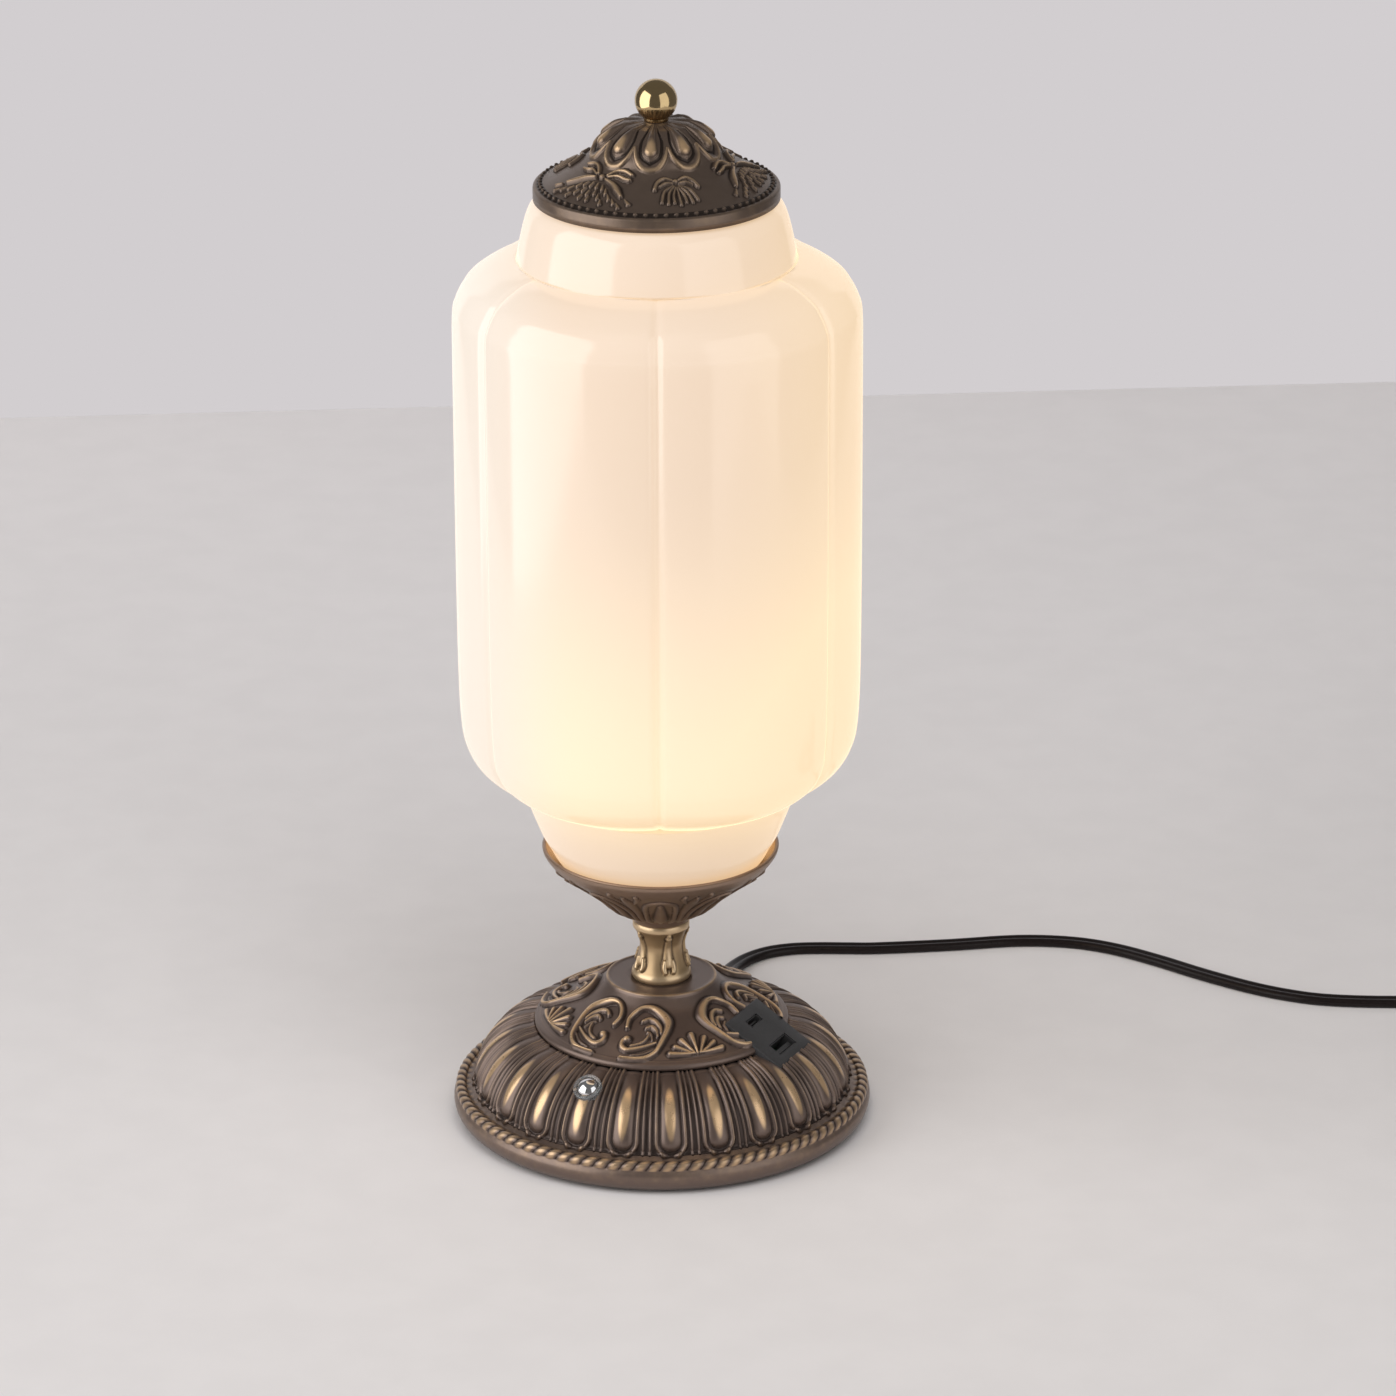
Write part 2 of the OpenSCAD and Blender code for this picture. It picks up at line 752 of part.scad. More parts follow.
strip_z = globe_z - 0.4 * globe_r;
strip_l = 0.9 * globe_r;
module bulb_stem() {
    color("#f2d9a0") {
        translate([0, 0, bulb_z]) cylinder(r = 5, h = 8);
        translate([0, 0, bulb_z]) cylinder(r = 2.4, h = strip_z + 8 - bulb_z);
        for (z = [strip_z, strip_z + strip_l]) translate([0, 0, z]) cylinder(r = 7.2, h = 0.8);
        for (a = [0 : 90 : 270]) rotate([0, 0, a]) translate([6, 0, strip_z]) cylinder(r = 0.9, h = strip_l);
    }
}

// Side of the shade in section: the lower collar, the side of a lobe and the upper collar.
// The third value says how far the side is lobed: 0 on the round collars, 1 on the body.
shade_side = concat(
    [for (p = [
        [mouth_r, shade_z], [mouth_r + 2.6, shade_z + 2.6], [foot_r - 8.6, shade_z + 7],
        [foot_r - 6, shade_z + 11.6], [foot_r - 3.4, shade_z + 18], [foot_r - 0.8, shade_z + 25],
        [foot_r, lobe_z]
    ]) [p[0], p[1], 0]],
    [for (p = [
        [foot_r + 1, lobe_z + 1], [shade_r - 14.5, lobe_z + 5.3], [shade_r - 9.6, lobe_z + 8.6],
        [shade_r - 5.6, lobe_z + 13], [shade_r - 2.8, lobe_z + 18.6], [shade_r - 1.2, lobe_z + 26],
        [shade_r - 0.3, lobe_z + 45], [shade_r, lobe_z + 90], [shade_r, lobe_top - 40],
        [shade_r - 0.2, lobe_top - 21], [shade_r - 1.2, lobe_top - 16], [shade_r - 3.4, lobe_top - 11.4],
        [shade_r - 7, lobe_top - 7.4], [shade_r - 15, lobe_top - 2.6], [collar_r + 1, lobe_top - 0.2]
    ]) [p[0], p[1], 1]],
    [for (p = [
        [collar_r, lobe_top], [collar_r - 0.9, lobe_top + 5], [collar_r - 2.6, lobe_top + 13],
        [collar_r - 4.6, lobe_top + 19], [top_r + 1.6, shade_top - 2.1], [top_r, shade_top]
    ]) [p[0], p[1], 0]]
);
function flat(p) = [p[0], p[1]];
function shade_inside() =
    let (line = inset([for (p = shade_side) flat(p)], glass_t))
    [for (i = [0 : len(line) - 1]) [line[i][0], min(max(line[i][1], shade_z), shade_top), shade_side[i][2]]];

// Radius of a lobed circle: each lobe is an arc about an axis of its own, and the arcs meet in creases
function lobed(r, share, azimuth) =
    let (d = lobe_offset * share, half = 180 / lobes, off = (azimuth % (2 * half)) - half)
    d * cos(off) + sqrt((r - d) * (r - d) - pow(d * sin(off), 2));
lobe_steps = 8;
module shade() {
    loop = concat(shade_side, reverse(shade_inside()));
    m = lobes * lobe_steps;
    n = len(loop);
    points = [
        for (p = loop, k = [0 : m - 1])
            let (a = 360 * k / m, r = lobed(p[0], p[2], a))
            [r * sin(a), -r * cos(a), p[1]]
    ];
    faces = [
        for (i = [0 : n - 1], k = [0 : m - 1])
            let (a = i * m + k, b = i * m + (k + 1) % m, up = ((i + 1) % n - i) * m)
            each [[a, a + up, b], [b, a + up, b + up]]
    ];
    color("#f4e6d0") polyhedron(points, faces, convexity = 6);
}

// Cap: a stamped dish with a smooth lip, a flared skirt and a ring of drops below its flat top
lip_drop = 1.6;
cap_flat = 9;
skirt_in = top_r - glass_t - 1.1;
cap_side = concat(
    [[cap_r, cap_z - lip_drop], [cap_r, cap_z + 2.4]],
    arc(cap_r - 1.2, cap_z + 2.4, 1.2, 20, 90, 4),
    [[cap_r - 2, cap_z + 3.5]],
    smooth([
        [cap_r - 2.6, cap_z + 4.2], [cap_r - 11.4, cap_z + cap_h - 17], [cap_r - 17, cap_z + cap_h - 12.8],
        [cap_r - 19.4, cap_z + cap_h - 9.6]
    ], 2),
    smooth([
        [cap_r - 19.8, cap_z + cap_h - 8.6], [cap_r - 20.8, cap_z + cap_h - 6.4],
        [cap_r - 23.8, cap_z + cap_h - 4], [cap_r - 29, cap_z + cap_h - 1.7], [cap_flat, cap_top]
    ], 2)
);
stud_r = 2;
drop_lean = 24;

// A drop lies down the slope with its round end outwards
drop_r = 3.6;
drop_l = 10;
module cap_drop(azimuth) {
    facing(azimuth)
        translate([cap_r - 24, 0, cap_top - 5.4])
            rotate([0, 90 + drop_lean, 0])
                rotate_extrude()
                    polygon(concat(
                        [[0, -drop_l], [0.5, -drop_l]],
                        arc(0, 0, drop_r, -20, 80, 5), [[0, drop_r]]
                    ));
}

module cap() {
    roof = [for (p = inset(cap_side, cap_wall)) if (p[1] > cap_z + 3 && p[0] < skirt_in - 1.6) p];
    color("#4a3f38")
        difference() {
            union() {
                rotate_extrude()
                    polygon(concat(
                        [[top_r + 1.2, cap_z - lip_drop]], cap_side, [[0, cap_top], [0, cap_top - cap_wall]],
                        reverse(roof),
                        [[skirt_in - 1.4, cap_z + 4], [skirt_in - 1.4, cap_z - 6.3], [skirt_in, cap_z - 6.3]],
                        [[skirt_in, cap_z], [top_r + 1.2, cap_z]]
                    ));
                for (i = [0 : drops - 1]) cap_drop(-5.5 + i * 360 / drops);
            }
            translate([0, 0, cap_z]) cylinder(r = stud_r + 2 * fit, h = cap_h + 5);
        }
}

module finial_nut() {
    color("#b59a55") hex_nut(7, stud_r + run_fit, cap_top - cap_wall - 3, cap_top - cap_wall);
}

module finial() {
    ball_r = ball_d / 2;
    foot_z = cap_top + gap;
    color("#c8a24a") {
        translate([0, 0, foot_z + ball_r - 0.35]) sphere(r = ball_r);
        translate([0, 0, foot_z]) cylinder(r = 4.6, h = 1.6);
        translate([0, 0, cap_top - cap_wall - 5]) cylinder(r = stud_r, h = 10);
    }
}

// Strain relief moulded on the cord: a barrel in the base, and a collar and a tapered boot outside
module cord_gland() {
    color("#1b1b1c") {
        at_gland(gland_back) cylinder(r = gland_r, h = gland_face - gland_back);
        at_gland(base_r + fit) cylinder(r = gland_r + 0.4, h = gland_face - base_r - fit);
        at_gland(gland_face) cylinder(r1 = gland_r, r2 = cord_w / 2 + 0.7, h = boot_l);
    }
}

// The cord leaves the gland, comes down to the table and runs off to the right
coil_x = 358;
coil_y = 43.5;
tie_t = 0.8;
lie_z = cord_t / 2;
coil_z = tie_t + 0.2 + lie_z;
cord_start = polar(cord_azimuth, boot_end, gland_z);
cord_next = polar(cord_azimuth, boot_end + cord_w / 2, gland_z);
run_points = [
    [24.2, 113, 6.4], [26, 122, 3.4], [29, 131, lie_z + 0.3], [34.5, 139.5, lie_z], [42.5, 146, lie_z],
    [52.5, 149.5, lie_z], [63.5, 150.3, lie_z], [75, 150, lie_z], [88, 150, lie_z], [117, 153, lie_z],
    [145, 157, lie_z], [167, 155, lie_z], [184, 148, lie_z], [201, 136, lie_z], [218, 122, lie_z],
    [236, 109, lie_z], [251, 101, lie_z], [267, 96, lie_z], [293, 94, lie_z],
    [320, coil_y + coil_r, lie_z + 0.3], [344, coil_y + coil_r, coil_z],
    [coil_x - cord_w, coil_y + coil_r, coil_z], [coil_x, coil_y + coil_r, coil_z]
];
module cord_run() {
    route = concat([cord_start], smooth(concat([cord_next], run_points), 3));
    color("#161616") sweep(route, oval(cord_w, cord_t, 10));
}

// The coil goes in for a stretch of turns, climbs a layer in half a turn and comes out again
coil_turns = 2.25;
coil_total = 2 * coil_turns + 0.5;
loop_rings = 24;
function ramp(t) = max(0, min(1, t));
function coil_radius(t) =
    coil_r - coil_step * (min(t, coil_turns) - ramp((t - coil_turns - 0.5) / coil_turns) * coil_turns);
function coil_lift(t) = coil_climb * (0.5 - 0.5 * cos(180 * ramp((t - coil_turns) * 2)));
function coil_point(t) =
    [coil_x + coil_radius(t) * sin(360 * t), coil_y + coil_radius(t) * cos(360 * t), coil_z + coil_lift(t)];
coil_route = [for (i = [0 : coil_total * loop_rings]) coil_point(i / loop_rings)];
plug_l = 32;
plug_w = 25;
blade_l = 16;

// The tail runs on until the plug clears the loops
tail_l = sqrt(pow(coil_r + cord_w / 2 + 1, 2) - pow(coil_r - plug_w / 2, 2));
tail_end = coil_point(coil_total) + [tail_l, 0, 0];
module cord_coil() {
    section = oval(cord_w, cord_t, 6);
    route = concat(coil_route, [tail_end - [cord_w, 0, 0], tail_end]);
    points = skin(route, section);
    m = len(section);
    near = [
        for (i = [0 : len(route) - 1 - loop_rings / 2], j = [i + loop_rings / 2 : len(route) - 1])
            if (norm(route[i] - route[j]) < 2 * cord_w)
                min([for (a = [0 : m - 1], b = [0 : m - 1]) norm(points[i * m + a] - points[j * m + b])])
    ];
    echo(coil_least_gap = min(near));
    color("#161616") sweep(route, section);
}

// A strap goes round the strands at the far side of the coil
tie_turn = 0.5;
tie_in = coil_radius(coil_turns) - cord_w / 2 - 0.6;
tie_out = coil_r + cord_w / 2 + 0.6;
tie_h = tie_t + 0.2 + coil_climb + cord_t + 0.3;
module cord_tie() {
    color("#262626")
        translate([coil_x, coil_y, 0])
            rotate([0, 0, 90 - 360 * tie_turn])
                difference() {
                    translate([tie_in - tie_t, -4, 0]) cube([tie_out - tie_in + 2 * tie_t, 8, tie_h + tie_t]);
                    translate([tie_in, -5, tie_t]) cube([tie_out - tie_in, 10, tie_h - tie_t]);
                }
}

// Plug with two flat blades, lying on the table at the end of the cord
// Half outline of the plug from the cord to its face, mirrored about the cord's line
function plug_outline(neck, half) =
    let (line = concat(
        smooth([[0, neck], [plug_l / 4, neck + 0.4], [plug_l / 2, half - 0.6], [plug_l * 0.6, half]], 3),
        [[plug_l - 2, half], [plug_l - 0.6, half - 0.6], [plug_l, half - 2]]
    ))
    concat(line, reverse([for (p = line) [p[0], -p[1]]]));
module plug_body() {
    lie = tail_end[2];
    color("#191919")
        translate(tail_end)
            intersection() {
                translate([0, 0, -lie])
                    linear_extrude(2 * lie) polygon(plug_outline(cord_w / 2 + 1.6, plug_w / 2));
                translate([0, plug_w / 2, 0])
                    rotate([90, 0, 0]) linear_extrude(plug_w) polygon(plug_outline(cord_t / 2 + 1.6, lie));
            }
}

module plug_blades() {
    color("#c9b46a")
        translate(tail_end + [plug_l, 0, 0])
            for (s = [-1, 1]) translate([blade_l / 2, s * 6.35, 0]) cube([blade_l, 1.5, 6.35], center = true);
}

felt_pad();
bottom_plate();
bottom_screws();
ballast();
base_shell();
board_posts();
power_board();
transformer();
capacitor();
inner_wires();
usb_housing();
usb_board();
usb_c_shell();
usb_c_tongue();
usb_a_shell();
usb_a_tongue();
button_collar();
switch_body();
button();
base_washer();
base_nut();
threaded_tube();
neck();
cup();
cup_washer();
cup_gasket();
holder_cap();
holder_shell();
holder_liner();
holder_body();
screw_shell();
contact_tab();
bulb_base();
bulb_globe();
bulb_stem();
shade();
cap();
finial_nut();
finial();
cord_gland();
cord_run();
cord_coil();
cord_tie();
plug_body();
plug_blades();
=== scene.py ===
"""The looks of the table lamp: its finishes, its fine carving, its cord, and the photographed view."""

import json
import logging
import math
from collections.abc import Callable, Sequence
from dataclasses import dataclass
from enum import Enum

import bmesh
import bpy
import numpy as np
from mathutils import Matrix, Vector


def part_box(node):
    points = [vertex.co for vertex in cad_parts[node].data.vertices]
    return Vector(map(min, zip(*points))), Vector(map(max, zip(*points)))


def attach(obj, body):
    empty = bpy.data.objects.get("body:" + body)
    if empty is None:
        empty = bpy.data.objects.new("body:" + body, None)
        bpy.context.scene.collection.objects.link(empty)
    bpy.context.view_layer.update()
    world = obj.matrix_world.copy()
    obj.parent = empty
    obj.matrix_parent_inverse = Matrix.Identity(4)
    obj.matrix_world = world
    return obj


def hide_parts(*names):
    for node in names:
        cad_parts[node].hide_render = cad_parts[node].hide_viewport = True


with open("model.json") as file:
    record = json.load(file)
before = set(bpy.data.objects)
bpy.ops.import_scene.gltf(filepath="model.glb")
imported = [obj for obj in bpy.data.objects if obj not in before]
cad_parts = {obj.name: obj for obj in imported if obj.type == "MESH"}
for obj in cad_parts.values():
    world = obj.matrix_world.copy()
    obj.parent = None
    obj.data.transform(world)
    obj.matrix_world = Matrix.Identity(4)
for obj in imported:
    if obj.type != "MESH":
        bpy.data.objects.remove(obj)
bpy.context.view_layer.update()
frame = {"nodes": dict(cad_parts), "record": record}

MM = 0.001
LOG = logging.getLogger("lamp")

# Degrees above which an edge stays sharp, on plain pieces, CAD nodes and carved pieces
CREASE = 40.0
CAD_CREASE = 30.0
CARVED_CREASE = 180.0

# Equal sectors, at most, of which a turned mesh is put together
MOST_SECTORS = 16

# Sockets of a Mix node for colours: its factor, its two colours and its result
MIX_INPUTS = (0, 6, 7)
MIX_RESULT = 2

Point = tuple[float, ...]
Colour = tuple[float, float, float]


class Side(Enum):
    """Which corner of a node's box a size is read from."""

    LOW = 0
    HIGH = 1


class Axis(Enum):
    """Which coordinate of a node's box a size is read from."""

    X = 0
    Y = 1
    Z = 2


def measure(node: str, side: Side, axis: Axis) -> float:
    """One face of a CAD node's box at rest, in mm."""
    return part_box(node)[side.value][axis.value] / MM


def top(node: str) -> float:
    """Highest level of a CAD node, in mm."""
    return measure(node, Side.HIGH, Axis.Z)


def bottom(node: str) -> float:
    """Lowest level of a CAD node, in mm."""
    return measure(node, Side.LOW, Axis.Z)


def reach(node: str) -> float:
    """Radius of a CAD node that is round about the lamp's axis, in mm."""
    return measure(node, Side.HIGH, Axis.X)


def smooth(points: Sequence[Point], spans: int = 4) -> list[Point]:
    """A smooth line through given points.

    Args:
        points: The points, of any number of coordinates.
        spans: Short straight pieces between neighbours.

    Returns:
        The points of the line, the given ones among them.
    """
    p = [np.array(q, float) for q in points]
    line = []
    for i in range(len(p) - 1):
        a, b, c, d = p[max(i - 1, 0)], p[i], p[i + 1], p[min(i + 2, len(p) - 1)]
        for t in np.arange(spans) / spans:
            bend = (2 * a - 5 * b + 4 * c - d) * t**2 + (3 * b - a - 3 * c + d) * t**3
            line.append(tuple(0.5 * (2 * b + (c - a) * t + bend)))
    return line + [tuple(p[-1])]


def arc(x: float, z: float, r: float, start: float, end: float, spans: int = 10) -> list[Point]:
    """Points on an arc about (x, z), from one angle in degrees to another."""
    angles = np.radians(np.linspace(start, end, spans + 1))
    return [(x + r * math.cos(a), z + r * math.sin(a)) for a in angles]


def refine(points: Sequence[Point], step: float) -> list[Point]:
    """The same line with points no further apart than step, keeping its corners."""
    line = [points[0]]
    for a, b in zip(points, points[1:]):
        count = max(1, math.ceil(math.dist(a, b) / step))
        line += [tuple(np.array(a) + (np.array(b) - np.array(a)) * k / count) for k in range(1, count + 1)]
    return line


def polar(azimuth: float, r: float, z: float) -> Point:
    """A point at an azimuth from the front, turning to the right, in degrees and mm."""
    a = math.radians(azimuth)
    return (r * math.sin(a), -r * math.cos(a), z)


def seat(azimuth: float, out: float, up: float, lean: float) -> Matrix:
    """A frame on the base whose +Z leans outwards by lean degrees at an azimuth, in metres."""
    turn = Matrix.Rotation(math.radians(azimuth - 90), 4, "Z")
    place = Matrix.Translation((out * MM, 0, up * MM))
    return turn @ place @ Matrix.Rotation(math.radians(lean), 4, "Y")


def fade(values: np.ndarray, low: float, high: float) -> np.ndarray:
    """0 below low, 1 above high and smooth between; the other way round where low is above high."""
    t = np.clip((values - low) / (high - low), 0, 1)
    return t * t * (3 - 2 * t)


def fold(azimuth: np.ndarray, axis: float, pitch: float) -> np.ndarray:
    """Degrees from the nearest of a ring of axes that repeat every pitch degrees."""
    return (azimuth - axis + pitch / 2) % pitch - pitch / 2


def rounded(near: np.ndarray, power: float = 0.6) -> np.ndarray:
    """The rise of a raised line, 1 at its middle and 0 from its edge on, by distance in half widths."""
    return np.clip(1 - near**2, 0, 1) ** power


def spots_of(mesh: bpy.types.Mesh) -> np.ndarray:
    """The places of a mesh's vertices in metres, one row each."""
    spots = np.empty(len(mesh.vertices) * 3)
    mesh.vertices.foreach_get("co", spots)
    return spots.reshape(-1, 3)


def move_to(mesh: bpy.types.Mesh, spots: np.ndarray) -> None:
    """Moves a mesh's vertices to these places."""
    mesh.vertices.foreach_set("co", spots.ravel())
    mesh.update()


def settle(name: str, bm: bmesh.types.BMesh) -> bpy.types.Mesh:
    """A mesh made from a bmesh, which is freed."""
    mesh = bpy.data.meshes.new(name)
    bm.to_mesh(mesh)
    bm.free()
    return mesh


def show(name: str, data: bpy.types.ID) -> bpy.types.Object:
    """A new object of the scene that holds this data."""
    obj = bpy.data.objects.new(name, data)
    bpy.context.scene.collection.objects.link(obj)
    return obj


def poly(name: str, points: Sequence[Point]) -> bpy.types.Curve:
    """A curve of straight stretches through points in mm."""
    curve = bpy.data.curves.new(name, "CURVE")
    curve.dimensions = "3D"
    spline = curve.splines.new("POLY")
    spline.points.add(len(points) - 1)
    for point, spot in zip(spline.points, points):
        point.co = (*(c * MM for c in spot), 1)
    return curve


@dataclass
class Surface:
    """The shown side of a turned piece: where each of its vertices is, in degrees and mm."""

    azimuth: np.ndarray
    radius: np.ndarray
    height: np.ndarray
    along: np.ndarray


Relief = tuple[np.ndarray, np.ndarray]
Carving = Callable[[Surface], Relief]


@dataclass(frozen=True)
class Stroke:
    """A raised line of an ornament.

    Attributes:
        points: (degrees from the ornament's axis, mm along the section) of listed points.
        wide: Half widths in mm at even steps along the line.
        rise: Height of its crest in mm.
        gold: How far its crest is rubbed bright, 0 to 1.
    """

    points: tuple[Point, ...]
    wide: tuple[float, ...]
    rise: float = 1.0
    gold: float = 1.0

    def nearness(self, across: np.ndarray, along: np.ndarray, radius: Callable) -> np.ndarray:
        """Distance of each vertex from the line, in half widths.

        Args:
            across: mm from the ornament's axis, round the lamp.
            along: mm along the section.
            radius: Gives the section's radius at a place along it.

        Returns:
            One distance per vertex.
        """
        line = np.array(smooth(self.points, 3) if len(self.points) > 2 else self.points, float)
        line[:, 0] = np.radians(line[:, 0]) * radius(line[:, 1])
        share = np.linspace(0, 1, len(line))
        wide = np.interp(share, np.linspace(0, 1, len(self.wide)), self.wide)
        near = np.full(len(across), 9.0)
        for a, b, start, end in zip(line, line[1:], wide, wide[1:]):
            d = b - a
            k = np.clip(((across - a[0]) * d[0] + (along - a[1]) * d[1]) / max(d @ d, 1e-9), 0, 1)
            gap = np.hypot(across - a[0] - k * d[0], along - a[1] - k * d[1])
            near = np.minimum(near, gap / (start + (end - start) * k))
        return near


def raised(strokes: Sequence[Stroke], turning: "Turning", at: Surface, axis: float, repeats: int) -> Relief:
    """Height and rub of an ornament that repeats round the lamp, mirrored about each of its axes.

    Args:
        strokes: The lines of one half of the ornament.
        turning: The section that carries it.
        at: The surface of that section.
        axis: Azimuth of one of its axes.
        repeats: How many axes there are.

    Returns:
        The rise of each vertex in mm, and its rub: 1 on a crest, 0 on plain ground, -1 in a hollow.
    """
    across = np.radians(np.abs(fold(at.azimuth, axis, 360 / repeats))) * at.radius
    rises, rubs = [], []
    for stroke in strokes:
        near = stroke.nearness(across, at.along, turning.radius)
        rises.append(stroke.rise * rounded(near))
        gold = stroke.gold
        # From the bright crest down the plain flank to the dark hollow beside it
        rubs.append(np.interp(near, (0, 0.4, 0.75, 1.1, 1.7), (gold, gold * 0.65, 0, -0.7, 0)))
    return np.maximum.reduce(rises), worn(*rubs)


def worn(*rubs: np.ndarray) -> np.ndarray:
    """The rub where several ornaments meet: crests lie over hollows."""
    high = np.maximum.reduce(rubs)
    return np.where(high > 0.02, high, np.minimum.reduce(rubs))


@dataclass
class Turning:
    """A closed half section turned about the lamp's axis, whose shown side may be carved.

    Attributes:
        shown: (radius, height) in mm along the shown side.
        hidden: The plain points that lead back to its start.
        steps: Flats round the axis.
    """

    shown: Sequence[Point]
    hidden: Sequence[Point] = ()
    steps: int = 96

    def lengths(self) -> np.ndarray:
        """mm along the shown side at each of its points."""
        gaps = [math.dist(a, b) for a, b in zip(self.shown, self.shown[1:])]
        return np.concatenate([[0.0], np.cumsum(gaps)])

    def radius(self, along: np.ndarray) -> np.ndarray:
        """The shown side's radius at places along it, in mm."""
        return np.interp(along, self.lengths(), [p[0] for p in self.shown])

    def by_radius(self, points: Sequence[Point]) -> tuple[Point, ...]:
        """(degrees, radius) as (degrees, mm along the section), inside the section's widest point."""
        radii = [p[0] for p in self.shown]
        first = int(np.argmax(radii))
        places = np.interp([-r for _, r in points], [-r for r in radii[first:]], self.lengths()[first:])
        return tuple((a, place) for (a, _), place in zip(points, places))

    def by_height(self, points: Sequence[Point]) -> tuple[Point, ...]:
        """(degrees, height) as (degrees, mm along the section), below the section's highest point."""
        heights = [p[1] for p in self.shown]
        last = int(np.argmax(heights)) + 1
        places = np.interp([z for _, z in points], heights[:last], self.lengths()[:last])
        return tuple((a, place) for (a, _), place in zip(points, places))

    def form(self) -> bmesh.types.BMesh:
        """The turned mesh, in metres, with each vertex's place along the section kept on it."""
        bm = bmesh.new()
        layer = bm.verts.layers.float.new("along")
        places = [*self.lengths(), *[-1.0] * len(self.hidden)]
        ring = []
        for (r, z), place in zip([*self.shown, *self.hidden], places):
            vert = bm.verts.new((r * MM, 0, z * MM))
            vert[layer] = place
            ring.append(vert)
        edges = [bm.edges.new(pair) for pair in zip(ring, ring[1:] + ring[:1])]
        sectors = max(k for k in range(1, MOST_SECTORS + 1) if self.steps % k == 0)
        sector = 2 * math.pi / sectors
        bmesh.ops.spin(bm, geom=ring + edges, axis=(0, 0, 1), angle=sector, steps=self.steps // sectors)
        first = bm.verts[:] + bm.edges[:] + bm.faces[:]
        for k in range(1, sectors):
            copy = bmesh.ops.duplicate(bm, geom=first)["geom"]
            verts = [v for v in copy if isinstance(v, bmesh.types.BMVert)]
            bmesh.ops.rotate(bm, verts=verts, matrix=Matrix.Rotation(k * sector, 3, "Z"))
        bmesh.ops.remove_doubles(bm, verts=bm.verts, dist=0.001 * MM)
        bmesh.ops.recalc_face_normals(bm, faces=bm.faces)
        return bm


def carve(mesh: bpy.types.Mesh, carving: Carving) -> None:
    """Raises the shown side of a turned mesh along its normals and keeps the rub on each vertex."""
    spots = spots_of(mesh)
    normals, along = np.empty(spots.size), np.empty(len(spots))
    mesh.vertex_normals.foreach_get("vector", normals)
    mesh.attributes["along"].data.foreach_get("value", along)
    x, y, z = spots.T / MM
    rise, rub = carving(Surface(np.degrees(np.arctan2(x, -y)), np.hypot(x, y), z, along))
    mesh.attributes.new("rub", "FLOAT", "POINT").data.foreach_set("value", np.clip(rub, -1, 1))
    move_to(mesh, spots + normals.reshape(-1, 3) * np.where(along < 0, 0, rise * MM)[:, None])


class Signal:
    """A shader socket that takes part in arithmetic; each operation adds a Math node."""

    def __init__(self, graph: "Graph", socket: bpy.types.NodeSocket) -> None:
        """Keeps the socket and the graph that it is in."""
        self.graph = graph
        self.socket = socket

    def __add__(self, other: "Signal | float") -> "Signal":
        """This plus another value."""
        return self.graph.add("ShaderNodeMath", {"operation": "ADD"}, self, other)

    def __sub__(self, other: "Signal | float") -> "Signal":
        """This less another value."""
        return self.graph.add("ShaderNodeMath", {"operation": "SUBTRACT"}, self, other)

    def __rsub__(self, other: float) -> "Signal":
        """Another value less this."""
        return self.graph.add("ShaderNodeMath", {"operation": "SUBTRACT"}, other, self)

    def __mul__(self, other: "Signal | float") -> "Signal":
        """This times another value."""
        return self.graph.add("ShaderNodeMath", {"operation": "MULTIPLY"}, self, other)

    def step(self, low: float, high: float) -> "Signal":
        """0 below low, 1 above high and smooth between."""
        settings = {"interpolation_type": "SMOOTHSTEP"}
        return self.graph.add("ShaderNodeMapRange", settings, self, low, high, 0.0, 1.0)


class Graph:
    """The node tree of one material, with a Principled shader as its end."""

    def __init__(self, name: str) -> None:
        """Starts a material of that name."""
        self.material = bpy.data.materials.new(name)
        self.material.use_nodes = True
        self.tree = self.material.node_tree
        self.shader = self.tree.nodes["Principled BSDF"]

    def add(
        self, kind: str, settings: dict, *inputs: object, out: int | str = 0, **named: object
    ) -> Signal:
        """Adds a node.

        Args:
            kind: The node's type.
            settings: Its properties.
            inputs: Values or signals for its first sockets, in order.
            out: Which of its outputs is wanted, by place or name.
            named: Values or signals for sockets by name, with _ for a space.

        Returns:
            The wanted output.
        """
        node = self.tree.nodes.new(kind)
        for key, value in settings.items():
            setattr(node, key, value)
        for socket, value in zip(node.inputs, inputs):
            self.feed(socket, value)
        for key, value in named.items():
            self.feed(node.inputs[key.replace("_", " ")], value)
        return Signal(self, node.outputs[out])

    def feed(self, socket: bpy.types.NodeSocket, value: object) -> None:
        """Links a signal to a socket, or sets a plain value on it."""
        if isinstance(value, Signal):
            self.tree.links.new(value.socket, socket)
        elif isinstance(value, tuple) and socket.type == "RGBA":
            socket.default_value = (*value, 1.0)
        else:
            socket.default_value = value

    def set(self, **named: object) -> None:
        """Feeds the Principled shader's sockets by name, with _ for a space."""
        for key, value in named.items():
            self.feed(self.shader.inputs[key.replace("_", " ")], value)

    def mix(self, factor: Signal, low: "Signal | Colour", high: "Signal | Colour") -> Signal:
        """A colour between two others."""
        node = self.tree.nodes.new("ShaderNodeMix")
        node.data_type = "RGBA"
        for index, value in zip(MIX_INPUTS, (factor, low, high)):
            self.feed(node.inputs[index], value)
        return Signal(self, node.outputs[MIX_RESULT])

    def place(self) -> Signal:
        """Object coordinates, which are the lamp's own frame in metres."""
        return self.add("ShaderNodeTexCoord", {}, out="Object")

    def noise(self, scale: float, detail: float = 3.0) -> Signal:
        """Even noise about 0.5, with scale in turns per metre."""
        return self.add("ShaderNodeTexNoise", {}, Vector=self.place(), Scale=scale, Detail=detail)

    def bump(self, height: Signal, distance: float) -> Signal:
        """A bumped normal, where distance is the height of a full step in metres."""
        return self.add("ShaderNodeBump", {}, Height=height, Distance=distance, Strength=1.0)


